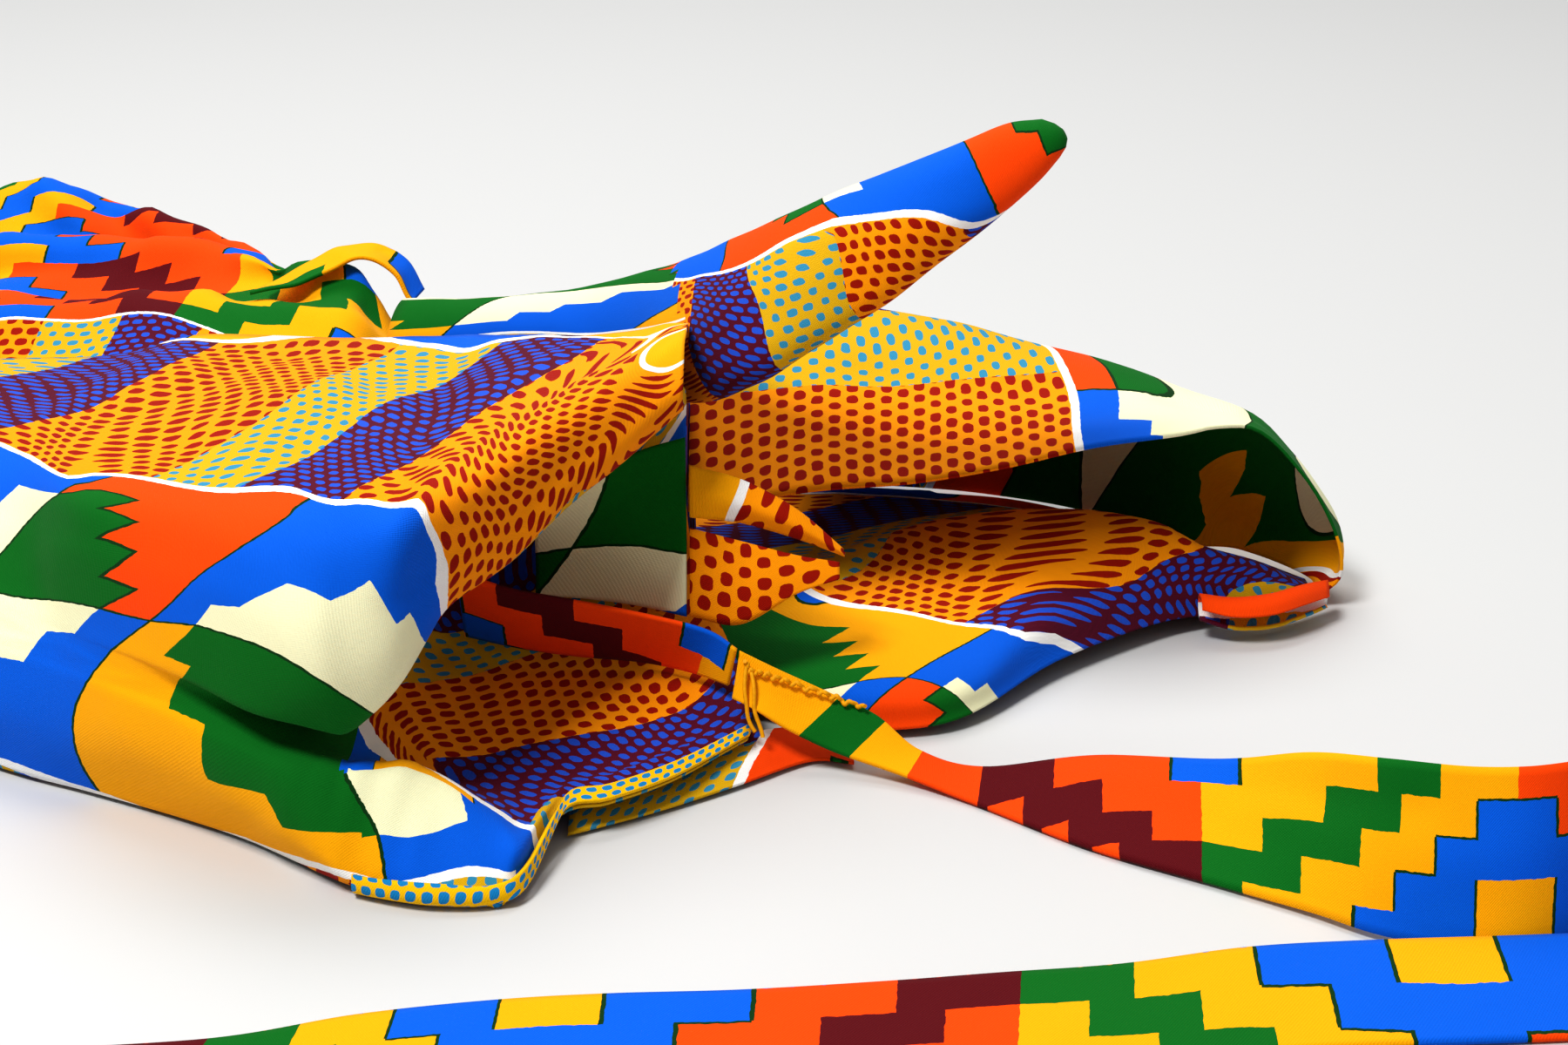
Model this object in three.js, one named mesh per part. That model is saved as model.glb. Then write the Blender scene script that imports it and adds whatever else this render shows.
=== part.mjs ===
// Kente cotton waist apron, dropped in a soft heap on a table.
// Millimetres. X runs to the right, Y away from the front, Z up. The table is Z = 0.
import * as THREE from 'three';

// Driving dimensions
const WALL = 1.6;          // cloth wall, thick enough to be a solid
const TIE_WALL = 1.4;      // wall of the two ties and the waistband
const SEAM = 0.3;          // gap kept between two pieces that meet
const HEM_STANDOFF = 0.35; // gap between the panel and the hem laid on it
const HEM_WALL = 1.0;      // the turned hem's own thickness
const RUFFLE_TUCK = 1.3;   // how much lower and further back the crumpled stretch starts
const TABLE_CLEARANCE = 0.05;
const LOW_PLACES = 4;      // how many of a cut's places stand at its lower X

// The tables below are laid out from a point beside the hem's corner. This is the middle of the
// whole heap there, and the finished group is moved to stand on it.
const HEAP_CENTRE = { x: -44.5, y: 137.8 };

// The apron panel's main S-shaped fold, cut across every few centimetres from the left end.
// xLow and xTop: where the cut stands at its lower and upper end. Each named place is a Y and a Z:
// foot on the table, belly and lobe of the front face, floor and turn of the pocket, under side and
// chin of the upper lobe, brow, crest, saddle of the top and its back edge.
const PANEL_CUTS = [
  { xLow: -298, xTop: -298, footY: 160, footZ: 1, bellyY: 161, bellyZ: 3, lobeY: 163, lobeZ: 5,
    floorY: 164.5, floorZ: 6.2, turnY: 166, turnZ: 7.2, underY: 167.5, underZ: 8, chinY: 169, chinZ: 9,
    browY: 175, browZ: 12, crestY: 186, crestZ: 15, saddleY: 212, saddleZ: 16, backY: 236, backZ: 14 },
  { xLow: -262, xTop: -262, footY: 124, footZ: 1, bellyY: 121, bellyZ: 10, lobeY: 122, lobeZ: 17,
    floorY: 123.5, floorZ: 20, turnY: 125, turnZ: 22, underY: 127, underZ: 24.5, chinY: 129, chinZ: 27,
    browY: 139, browZ: 36, crestY: 156, crestZ: 43, saddleY: 196, saddleZ: 44, backY: 234, backZ: 38 },
  { xLow: -215, xTop: -215, footY: 89, footZ: 1, bellyY: 86, bellyZ: 14, lobeY: 88, lobeZ: 25,
    floorY: 90, floorZ: 29, turnY: 92, turnZ: 32, underY: 94, underZ: 35, chinY: 97, chinZ: 39,
    browY: 108, browZ: 50, crestY: 130, crestZ: 59, saddleY: 178, saddleZ: 55, backY: 221, backZ: 48 },
  { xLow: -178, xTop: -178, footY: 64, footZ: 1, bellyY: 61, bellyZ: 16, lobeY: 64, lobeZ: 28,
    floorY: 66, floorZ: 32, turnY: 68, turnZ: 35, underY: 70, underZ: 38, chinY: 73, chinZ: 42,
    browY: 84, browZ: 54, crestY: 106, crestZ: 64, saddleY: 160, saddleZ: 60, backY: 213, backZ: 52 },
  { xLow: -156, xTop: -156, footY: 52, footZ: 1, bellyY: 47, bellyZ: 16, lobeY: 47, lobeZ: 29,
    floorY: 48, floorZ: 33, turnY: 49, turnZ: 36, underY: 50, underZ: 39, chinY: 51, chinZ: 43,
    browY: 56, browZ: 60, crestY: 70, crestZ: 71, saddleY: 135, saddleZ: 69, backY: 205, backZ: 60 },
  { xLow: -135, xTop: -135, footY: 40, footZ: 1, bellyY: 33, bellyZ: 16, lobeY: 31, lobeZ: 29,
    floorY: 33, floorZ: 33, turnY: 34, turnZ: 36, underY: 34, underZ: 39, chinY: 33, chinZ: 43,
    browY: 38, browZ: 62, crestY: 56, crestZ: 74, saddleY: 122, saddleZ: 71, backY: 202, backZ: 61 },
  { xLow: -118, xTop: -118, footY: 29, footZ: 1, bellyY: 21, bellyZ: 15, lobeY: 20, lobeZ: 27,
    floorY: 25, floorZ: 31.5, turnY: 28, turnZ: 34.5, underY: 25, underZ: 37, chinY: 20, chinZ: 40,
    browY: 25, browZ: 63, crestY: 47, crestZ: 77, saddleY: 115, saddleZ: 73, backY: 200, backZ: 61 },
  { xLow: -106, xTop: -106, footY: 19, footZ: 1, bellyY: 12, bellyZ: 12, lobeY: 13.5, lobeZ: 25.5,
    floorY: 23, floorZ: 29, turnY: 32, turnZ: 31.8, underY: 24, underZ: 34.6, chinY: 14, chinZ: 36.5,
    browY: 17, browZ: 63, crestY: 41, crestZ: 78, saddleY: 110, saddleZ: 74, backY: 200, backZ: 61 },
  { xLow: -97, xTop: -97, footY: 11, footZ: 1, bellyY: 6, bellyZ: 9, lobeY: 13, lobeZ: 24,
    floorY: 26, floorZ: 26, turnY: 48, turnZ: 29.5, underY: 30, underZ: 33.8, chinY: 13, chinZ: 33.5,
    browY: 13, browZ: 60, crestY: 37, crestZ: 79, saddleY: 106, saddleZ: 75, backY: 198, backZ: 62 },
  { xLow: -90, xTop: -90, footY: 6, footZ: 1, bellyY: 4, bellyZ: 5.5, lobeY: 15, lobeZ: 24,
    floorY: 32, floorZ: 21, turnY: 66, turnZ: 28, underY: 36, underZ: 36, chinY: 15, chinZ: 33,
    browY: 14, browZ: 58, crestY: 33, crestZ: 79.5, saddleY: 104, saddleZ: 76, backY: 195, backZ: 63 },
  { xLow: -80, xTop: -80, footY: 2, footZ: 1, bellyY: 0.5, bellyZ: 5.5, lobeY: 19, lobeZ: 23,
    floorY: 40, floorZ: 16, turnY: 98, turnZ: 26, underY: 50, underZ: 44, chinY: 21, chinZ: 42,
    browY: 18, browZ: 60, crestY: 27, crestZ: 80, saddleY: 100, saddleZ: 76.5, backY: 187, backZ: 66 },
  { xLow: -72, xTop: -72, footY: 0, footZ: 1, bellyY: -0.8, bellyZ: 5.2, lobeY: 20, lobeZ: 19,
    floorY: 43, floorZ: 12, turnY: 112, turnZ: 27, underY: 62, underZ: 55, chinY: 35, chinZ: 52,
    browY: 28, browZ: 64, crestY: 35, crestZ: 80, saddleY: 96, saddleZ: 77, backY: 180, backZ: 68 },
  { xLow: -61, xTop: -60, footY: 0, footZ: 1, bellyY: -0.2, bellyZ: 4.5, lobeY: 14, lobeZ: 13.5,
    floorY: 44, floorZ: 10, turnY: 118, turnZ: 28, underY: 82, underZ: 59, chinY: 51, chinZ: 56,
    browY: 44, browZ: 68, crestY: 52, crestZ: 83, saddleY: 104, saddleZ: 79, backY: 168, backZ: 72 },
  { xLow: -55, xTop: -53, footY: 3, footZ: 2.5, bellyY: 5.5, bellyZ: 6.2, lobeY: 10.5, lobeZ: 11,
    floorY: 46, floorZ: 9.5, turnY: 120, turnZ: 29, underY: 88, underZ: 62, chinY: 58, chinZ: 61,
    browY: 52, browZ: 71, crestY: 61, crestZ: 85, saddleY: 108, saddleZ: 80, backY: 160, backZ: 74 },
  { xLow: -48, xTop: -46, footY: 29, footZ: 7, bellyY: 33, bellyZ: 8.6, lobeY: 38, lobeZ: 9.4,
    floorY: 54, floorZ: 10.5, turnY: 121, turnZ: 30, underY: 93, underZ: 65, chinY: 66, chinZ: 65,
    browY: 60, browZ: 74, crestY: 70, crestZ: 87, saddleY: 112, saddleZ: 82, backY: 152, backZ: 77 },
  { xLow: -38, xTop: -35, footY: 34, footZ: 7.5, bellyY: 38, bellyZ: 9, lobeY: 43, lobeZ: 9.8,
    floorY: 58, floorZ: 11, turnY: 122, turnZ: 31, underY: 99, underZ: 70, chinY: 77, chinZ: 71,
    browY: 72, browZ: 79, crestY: 84, crestZ: 90, saddleY: 114, saddleZ: 86, backY: 140, backZ: 82 },
  { xLow: -24, xTop: -28, footY: 46, footZ: 7.5, bellyY: 50, bellyZ: 9, lobeY: 55, lobeZ: 10,
    floorY: 66, floorZ: 12, turnY: 123, turnZ: 32, underY: 104, underZ: 73, chinY: 84, chinZ: 75,
    browY: 80, browZ: 83, crestY: 93, crestZ: 92, saddleY: 113, saddleZ: 90, backY: 129, backZ: 87 },
  { xLow: -8, xTop: -22.5, footY: 66, footZ: 8, bellyY: 69.5, bellyZ: 9, lobeY: 73, lobeZ: 10,
    floorY: 82, floorZ: 13, turnY: 123.5, turnZ: 33, underY: 106, underZ: 76, chinY: 88, chinZ: 79,
    browY: 85, browZ: 86, crestY: 98, crestZ: 93.5, saddleY: 112, saddleZ: 92, backY: 120, backZ: 90 },
];
const PANEL_PLACES = ['foot', 'belly', 'lobe', 'floor', 'turn', 'under', 'chin', 'brow', 'crest',
  'saddle', 'back'];

// The fold that stands up to a point: a flattened roll from its root behind the crest to its tip.
// low and up are its two edges, swell is half its thickness at the middle.
const POINT_RINGS = [
  { lowX: -104, lowY: 206, lowZ: 50, upX: -100, upY: 218, upZ: 66, swell: 5 },
  { lowX: -80, lowY: 193, lowZ: 54, upX: -78, upY: 205, upZ: 70, swell: 6 },
  { lowX: -58, lowY: 176, lowZ: 58, upX: -58, upY: 190, upZ: 76.5, swell: 7 },
  { lowX: -38, lowY: 153, lowZ: 60, upX: -36, upY: 168, upZ: 87.5, swell: 7 },
  { lowX: -20, lowY: 120, lowZ: 70, upX: -20, upY: 150, upZ: 97.5, swell: 9 },
  { lowX: -8, lowY: 100, lowZ: 82, upX: -7, upY: 138, upZ: 106, swell: 10 },
  { lowX: 6, lowY: 99, lowZ: 91, upX: 5, upY: 130, upZ: 114, swell: 10 },
  { lowX: 22, lowY: 101, lowZ: 100, upX: 20, upY: 122, upZ: 123.5, swell: 9.5 },
  { lowX: 36, lowY: 102, lowZ: 111, upX: 33, upY: 118, upZ: 130, swell: 8.5 },
  { lowX: 48, lowY: 102, lowZ: 120, upX: 43, upY: 114, upZ: 135.5, swell: 7 },
  { lowX: 56.5, lowY: 102, lowZ: 128, upX: 51, upY: 110, upZ: 140, swell: 5.5 },
  { lowX: 61.5, lowY: 102, lowZ: 134, upX: 58, upY: 107, upZ: 141.8, swell: 4 },
];
const POINT_TIP = [63.2, 103.5, 139.2];

// The crumpled stretch behind, cut across from left to right. Each place is a Y and a Z.
const RUFFLE_CUTS = [
  { x: -296, dipAY: 250, dipAZ: 7, riseAY: 264, riseAZ: 14, dipBY: 280, dipBZ: 9,
    riseBY: 296, riseBZ: 15, dipCY: 310, dipCZ: 10, riseCY: 326, riseCZ: 14, fallY: 342, fallZ: 8,
    footY: 350, footZ: 1 },
  { x: -262, dipAY: 248, dipAZ: 30, riseAY: 264, riseAZ: 42, dipBY: 282, dipBZ: 38,
    riseBY: 299, riseBZ: 48, dipCY: 315, dipCZ: 42, riseCY: 336, riseCZ: 50, fallY: 362, fallZ: 30,
    footY: 370, footZ: 1 },
  { x: -228, dipAY: 240, dipAZ: 42, riseAY: 260, riseAZ: 54.5, dipBY: 280, dipBZ: 48,
    riseBY: 300, riseBZ: 60, dipCY: 318, dipCZ: 54, riseCY: 342, riseCZ: 66, fallY: 368, fallZ: 38,
    footY: 374, footZ: 1 },
  { x: -198, dipAY: 232, dipAZ: 45, riseAY: 254, riseAZ: 55, dipBY: 276, dipBZ: 48,
    riseBY: 297, riseBZ: 58, dipCY: 312, dipCZ: 52, riseCY: 331, riseCZ: 61, fallY: 357, fallZ: 36,
    footY: 364, footZ: 1 },
  { x: -170, dipAY: 224, dipAZ: 49, riseAY: 245, riseAZ: 58, dipBY: 266, dipBZ: 50,
    riseBY: 288, riseBZ: 60, dipCY: 301, dipCZ: 52, riseCY: 316, riseCZ: 58, fallY: 338, fallZ: 34,
    footY: 345, footZ: 1 },
  { x: -142, dipAY: 217, dipAZ: 52, riseAY: 234, riseAZ: 60, dipBY: 250, dipBZ: 55,
    riseBY: 264, riseBZ: 63, dipCY: 276, dipCZ: 54, riseCY: 286, riseCZ: 50, fallY: 302, fallZ: 28,
    footY: 309, footZ: 1 },
  { x: -118, dipAY: 213, dipAZ: 53, riseAY: 226, riseAZ: 60, dipBY: 237, dipBZ: 59,
    riseBY: 248, riseBZ: 66, dipCY: 257, dipCZ: 58, riseCY: 265, riseCZ: 44, fallY: 276, fallZ: 24,
    footY: 282, footZ: 1 },
  { x: -106, dipAY: 223.5, dipAZ: 48, riseAY: 228, riseAZ: 50, dipBY: 235, dipBZ: 49,
    riseBY: 243, riseBZ: 50, dipCY: 250, dipCZ: 42, riseCY: 256, riseCZ: 32, fallY: 264, fallZ: 18,
    footY: 269, footZ: 1 },
];
const RUFFLE_PLACES = ['dipA', 'riseA', 'dipB', 'riseB', 'dipC', 'riseC', 'fall', 'foot'];

// The loop's upper layer and its bend down to the table at the right. rim is the near edge, crown
// the ridge and back the far edge.
const LOOP_UPPER_CUTS = [
  { rimX: -23.6, rimY: 136, rimZ: 37, crownX: -23.6, crownY: 194, crownZ: 68,
    backX: -23.6, backY: 232, backZ: 50, hemX: -22, hemY: 246, hemZ: 2 },
  { rimX: 6, rimY: 139, rimZ: 41, crownX: 10, crownY: 200, crownZ: 68, backX: 14, backY: 236, backZ: 50,
    hemX: 14, hemY: 250, hemZ: 2 },
  { rimX: 32, rimY: 140, rimZ: 43, crownX: 40, crownY: 199, crownZ: 64,
    backX: 46, backY: 232, backZ: 46, hemX: 44, hemY: 246, hemZ: 2 },
  { rimX: 54, rimY: 140, rimZ: 47, crownX: 62, crownY: 197, crownZ: 60,
    backX: 66, backY: 227, backZ: 42, hemX: 62, hemY: 240, hemZ: 2 },
  { rimX: 76, rimY: 141, rimZ: 52, crownX: 84, crownY: 194, crownZ: 56,
    backX: 84, backY: 220, backZ: 38, hemX: 78, hemY: 232, hemZ: 2 },
  { rimX: 98, rimY: 146, rimZ: 53, crownX: 103, crownY: 189, crownZ: 51,
    backX: 98, backY: 212, backZ: 34, hemX: 90, hemY: 222, hemZ: 2 },
  { rimX: 117, rimY: 158, rimZ: 51, crownX: 120, crownY: 184, crownZ: 45.5,
    backX: 108, backY: 205, backZ: 31, hemX: 99, hemY: 212, hemZ: 2 },
  { rimX: 131, rimY: 160, rimZ: 38, crownX: 132, crownY: 181, crownZ: 34,
    backX: 114, backY: 202, backZ: 25, hemX: 103, hemY: 207, hemZ: 2 },
  { rimX: 140.5, rimY: 161, rimZ: 22, crownX: 141, crownY: 179, crownZ: 20,
    backX: 118, backY: 200, backZ: 17, hemX: 106, hemY: 204, hemZ: 2 },
  { rimX: 143, rimY: 162, rimZ: 9, crownX: 143, crownY: 178, crownZ: 8.5,
    backX: 121, backY: 198.5, backZ: 9, hemX: 108, hemY: 202, hemZ: 2 },
  { rimX: 137, rimY: 163, rimZ: 2, crownX: 137, crownY: 178, crownZ: 2,
    backX: 122, backY: 195, backZ: 3, hemX: 110, hemY: 200, hemZ: 2 },
];

// The loop's lower layer, from the bend to the left. front is its folded front edge, rise and crest
// its low hump, back the hidden far edge.
const LOOP_LOWER_CUTS = [
  { x: -18, frontY: 96, frontZ: 9, riseY: 102, riseZ: 15, crestY: 130, crestZ: 17,
    downY: 160, downZ: 12, backY: 226, backZ: 3 },
  { x: -8, frontY: 91, frontZ: 6, riseY: 98, riseZ: 14, crestY: 132, crestZ: 18, downY: 162, downZ: 13,
    backY: 232, backZ: 3 },
  { x: 8, frontY: 84, frontZ: 3.4, riseY: 92, riseZ: 13, crestY: 138, crestZ: 20, downY: 168, downZ: 14,
    backY: 236, backZ: 3 },
  { x: 26, frontY: 82, frontZ: 2.8, riseY: 91, riseZ: 12, crestY: 148, crestZ: 23,
    downY: 178, downZ: 15, backY: 236, backZ: 3 },
  { x: 44, frontY: 89, frontZ: 3.5, riseY: 99, riseZ: 12, crestY: 157, crestZ: 25,
    downY: 182, downZ: 16, backY: 234, backZ: 3 },
  { x: 66, frontY: 116, frontZ: 5, riseY: 126, riseZ: 16, crestY: 163, crestZ: 26,
    downY: 184, downZ: 16, backY: 228, backZ: 3 },
  { x: 92, frontY: 139, frontZ: 5, riseY: 144, riseZ: 15, crestY: 162, crestZ: 24.5,
    downY: 180, downZ: 15, backY: 212, backZ: 3 },
  { x: 108, frontY: 148, frontZ: 4, riseY: 150, riseZ: 12, crestY: 158, crestZ: 18,
    downY: 174, downZ: 12, backY: 194, backZ: 3 },
  { x: 122, frontY: 154, frontZ: 3.5, riseY: 157, riseZ: 9, crestY: 163, crestZ: 12,
    downY: 175, downZ: 8, backY: 190, backZ: 2.6 },
  { x: 136.2, frontY: 163.5, frontZ: 2, riseY: 166, riseZ: 2.4, crestY: 170, crestZ: 2.6,
    downY: 174, downZ: 2.4, backY: 177, backZ: 2 },
];
const LOOP_LOWER_PLACES = ['front', 'rise', 'crest', 'down', 'back'];

// A small roll of the loop's front edge, near the bend: its centre line and its radius.
const EDGE_CURL_STATIONS = [
  { x: 104, y: 142.5, z: 8, radius: 4.4 },
  { x: 112, y: 141, z: 6.8, radius: 5.2 },
  { x: 122, y: 143, z: 6.6, radius: 5.6 },
  { x: 131, y: 149, z: 6.8, radius: 5.4 },
  { x: 138, y: 155, z: 6.4, radius: 4.6 },
];
const CURL_START = 0.1 * Math.PI;
const CURL_SWEEP = 1.65 * Math.PI;

// The stretch that hangs inside the pocket, cut across from left to right.
const INNER_DRAPE_CUTS = [
  { x: -58, hemY: 95, hemZ: 31, lowerY: 98, lowerZ: 37, upperY: 98, upperZ: 44, topY: 95.4, topZ: 51 },
  { x: -46, hemY: 94, hemZ: 30.5, lowerY: 97.5, lowerZ: 40, upperY: 98.5, upperZ: 49,
    topY: 96.4, topZ: 58.4 },
  { x: -34, hemY: 91, hemZ: 30, lowerY: 95, lowerZ: 42, upperY: 98, upperZ: 54, topY: 98.5, topZ: 65 },
  { x: -22.8, hemY: 87, hemZ: 29, lowerY: 91.5, lowerZ: 43, upperY: 96.5, upperZ: 56,
    topY: 99.5, topZ: 68.5 },
];
const INNER_DRAPE_PLACES = ['hem', 'lower', 'upper', 'top'];

// The beak-shaped fold right of it: an upper and a lower leaf that meet at the beak's tip.
const BEAK_UPPER_CUTS = [
  { x: -21.8, edgeY: 94.8, edgeZ: 50.5, bulgeY: 95.2, bulgeZ: 57, topY: 98.6, topZ: 62 },
  { x: -10, edgeY: 96, edgeZ: 48.5, bulgeY: 94.5, bulgeZ: 54, topY: 98, topZ: 59 },
  { x: 3, edgeY: 96, edgeZ: 44.5, bulgeY: 94.5, bulgeZ: 48.5, topY: 97, topZ: 52 },
  { x: 14, edgeY: 95.5, edgeZ: 40.3, bulgeY: 95, bulgeZ: 41.5, topY: 96, topZ: 42.5 },
];
const BEAK_LOWER_CUTS = [
  { x: -21.8, edgeY: 87, edgeZ: 29, bulgeY: 90, bulgeZ: 39, topY: 93.4, topZ: 48.6 },
  { x: -10, edgeY: 86.5, edgeZ: 27.2, bulgeY: 89, bulgeZ: 37, topY: 93, topZ: 45.5 },
  { x: 3, edgeY: 89.5, edgeZ: 33.6, bulgeY: 91, bulgeZ: 37.5, topY: 93.5, topZ: 41.8 },
  { x: 13, edgeY: 92.5, edgeZ: 36.2, bulgeY: 93.5, bulgeZ: 37.8, topY: 94.8, topZ: 39.6 },
];
const BEAK_PLACES = ['edge', 'bulge', 'top'];

// The stretch that shows below the hem, resting on the table.
const UNDER_LAYER_CUTS = [
  { x: -47, frontY: 30.5, frontZ: 1.7, middleY: 36, middleZ: 3.2, backY: 44, backZ: 5 },
  { x: -28, frontY: 42, frontZ: 1.7, middleY: 47, middleZ: 3.4, backY: 55, backZ: 5.4 },
  { x: -10, frontY: 55, frontZ: 1.7, middleY: 60, middleZ: 4.3, backY: 70, backZ: 7 },
  { x: 6, frontY: 68, frontZ: 1.7, middleY: 74, middleZ: 3.6, backY: 80, backZ: 4.4 },
  { x: 16, frontY: 67, frontZ: 1.7, middleY: 72, middleZ: 2, backY: 77, backZ: 2 },
];
const UNDER_LAYER_PLACES = ['front', 'middle', 'back'];

// Strips: the waistband and the ties, each station giving the strip's two edges.
const WAISTBAND_STATIONS = [
  { lowX: -74, lowY: 86, lowZ: 24.2, highX: -74, highY: 72.7, highZ: 45.2 },
  { lowX: -62, lowY: 84, lowZ: 22.2, highX: -62, highY: 71.5, highZ: 41.5 },
  { lowX: -48, lowY: 83.5, lowZ: 20.2, highX: -48, highY: 72, highZ: 38.5 },
  { lowX: -33, lowY: 82.5, lowZ: 19.2, highX: -32, highY: 73.5, highZ: 34.5 },
  { lowX: -21, lowY: 79.5, lowZ: 17.8, highX: -18, highY: 75.5, highZ: 30 },
  { lowX: -13, lowY: 75.5, lowZ: 16.5, highX: -11, highY: 74, highZ: 26 },
];
const STRAP_BACK_STATIONS = [
  { lowX: -146, lowY: 240, lowZ: 61.4, highX: -144, highY: 251.6, highZ: 59.8 },
  { lowX: -129, lowY: 242, lowZ: 65.4, highX: -127, highY: 253.6, highZ: 68 },
  { lowX: -115, lowY: 244, lowZ: 69.4, highX: -113, highY: 255, highZ: 71 },
  { lowX: -106, lowY: 243, lowZ: 66, highX: -104, highY: 253, highZ: 67 },
  { lowX: -101, lowY: 241, lowZ: 58, highX: -99, highY: 250, highZ: 59 },
];
const TIE_RIGHT_STATIONS = [
  { lowX: -12, lowY: 71, lowZ: 15.5, highX: -10, highY: 75.3, highZ: 25.5 },
  { lowX: -5.5, lowY: 67, lowZ: 14, highX: -2, highY: 75, highZ: 21.5 },
  { lowX: 1.5, lowY: 65, lowZ: 10.5, highX: 10, highY: 74, highZ: 16 },
  { lowX: 12, lowY: 63, lowZ: 6, highX: 21, highY: 70, highZ: 12 },
  { lowX: 27, lowY: 57, lowZ: 3.4, highX: 31, highY: 65, highZ: 5.6 },
  { lowX: 43, lowY: 46, lowZ: 1.6, highX: 45, highY: 61, highZ: 3.4 },
  { lowX: 66, lowY: 24.5, lowZ: 1.6, highX: 69, highY: 57, highZ: 8 },
  { lowX: 92, lowY: 6.5, lowZ: 1.6, highX: 95, highY: 36, highZ: 17 },
  { lowX: 108, lowY: -5, lowZ: 1.6, highX: 111, highY: 18, highZ: 27 },
  { lowX: 122, lowY: -16, lowZ: 1.6, highX: 124, highY: 1, highZ: 33.5 },
  { lowX: 140, lowY: -22.3, lowZ: 1.6, highX: 142, highY: -4, highZ: 34 },
  { lowX: 158, lowY: -18.4, lowZ: 1.6, highX: 160, highY: -3, highZ: 34.5 },
  { lowX: 184, lowY: 0, lowZ: 1.6, highX: 186, highY: 9, highZ: 34 },
  { lowX: 212, lowY: 16, lowZ: 1.6, highX: 213, highY: 30, highZ: 30 },
];
const TIE_FRONT_STATIONS = [
  { lowX: -302, lowY: 161.2, lowZ: 1.6, highX: -276, highY: 136.5, highZ: 2.2 },
  { lowX: -299, lowY: 118, lowZ: 1.6, highX: -268, highY: 106, highZ: 3.4 },
  { lowX: -296, lowY: 70, lowZ: 1.6, highX: -262, highY: 71, highZ: 3.2 },
  { lowX: -284, lowY: 10, lowZ: 1.6, highX: -251, highY: 18, highZ: 3.2 },
  { lowX: -260, lowY: -46, lowZ: 1.6, highX: -231, highY: -28, highZ: 3.4 },
  { lowX: -216, lowY: -85, lowZ: 1.6, highX: -199, highY: -55, highZ: 3.6 },
  { lowX: -166, lowY: -98, lowZ: 1.6, highX: -160, highY: -64, highZ: 4 },
  { lowX: -122, lowY: -95, lowZ: 1.6, highX: -112, highY: -62, highZ: 4.6 },
  { lowX: -86, lowY: -86, lowZ: 1.6, highX: -82, highY: -53, highZ: 5 },
  { lowX: -58, lowY: -81, lowZ: 1.6, highX: -56, highY: -47.5, highZ: 5 },
  { lowX: -35, lowY: -79, lowZ: 1.6, highX: -34, highY: -45, highZ: 5 },
  { lowX: -9, lowY: -77, lowZ: 1.6, highX: -8, highY: -43.5, highZ: 5 },
  { lowX: 19, lowY: -73, lowZ: 1.6, highX: 21, highY: -40, highZ: 5 },
  { lowX: 40, lowY: -70, lowZ: 1.6, highX: 43, highY: -37, highZ: 5.2 },
  { lowX: 64, lowY: -67, lowZ: 1.6, highX: 67, highY: -33.5, highZ: 5.2 },
  { lowX: 92, lowY: -61, lowZ: 1.6, highX: 93, highY: -27, highZ: 5.4 },
  { lowX: 120, lowY: -58, lowZ: 1.6, highX: 120, highY: -24, highZ: 5.4 },
  { lowX: 158, lowY: -55, lowZ: 1.6, highX: 158, highY: -21, highZ: 5.2 },
  { lowX: 182, lowY: -50, lowZ: 1.6, highX: 182, highY: -17, highZ: 5 },
  { lowX: 206, lowY: -46, lowZ: 1.6, highX: 206, highY: -13, highZ: 4.6 },
];

// The hidden layers, one rounded solid under the heap: its cuts from left to right.
const CORE_CUTS = [
  { x: -266, frontY: 140, shoulderY: 148, shoulderZ: 20, topY: 190, topZ: 27,
    farShoulderY: 246, farShoulderZ: 18, backY: 300 },
  { x: -232, frontY: 112, shoulderY: 120, shoulderZ: 32, topY: 180, topZ: 36,
    farShoulderY: 300, farShoulderZ: 28, backY: 352 },
  { x: -190, frontY: 84, shoulderY: 92, shoulderZ: 40, topY: 160, topZ: 43,
    farShoulderY: 300, farShoulderZ: 34, backY: 338 },
  { x: -156, frontY: 62, shoulderY: 66, shoulderZ: 48, topY: 130, topZ: 54,
    farShoulderY: 262, farShoulderZ: 38, backY: 303 },
  { x: -130, frontY: 60, shoulderY: 62, shoulderZ: 52, topY: 118, topZ: 58,
    farShoulderY: 232, farShoulderZ: 38, backY: 268 },
  { x: -106, frontY: 66, shoulderY: 70, shoulderZ: 50, topY: 118, topZ: 60,
    farShoulderY: 200, farShoulderZ: 36, backY: 228 },
  { x: -80, frontY: 108, shoulderY: 110, shoulderZ: 48, topY: 130, topZ: 58,
    farShoulderY: 180, farShoulderZ: 42, backY: 204 },
  { x: -50, frontY: 128, shoulderY: 129, shoulderZ: 44, topY: 142, topZ: 54,
    farShoulderY: 170, farShoulderZ: 46, backY: 194 },
  { x: -24, frontY: 128, shoulderY: 129, shoulderZ: 40, topY: 152, topZ: 54,
    farShoulderY: 180, farShoulderZ: 50, backY: 206 },
];

const PRINT_ORANGE = 0xff5a00;
const PRINT_YELLOW = 0xffb400;
const PRINT_GREEN = 0x0a7a20;
const PRINT_BLUE = 0x0a64f0;
const PRINT_CREAM = 0xf0ebb9;
const PRINT_BURGUNDY = 0x5f0010;
const HIDDEN_SHADE = 0xc2571a;

// --- Curves and grids of points ---

function smoothStep(before, from, to, after, share) {
  const squared = share * share;
  const cubed = squared * share;
  return 0.5 * (2 * from + (to - before) * share
    + (2 * before - 5 * from + 4 * to - after) * squared
    + (3 * from - before - 3 * to + after) * cubed);
}

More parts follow.
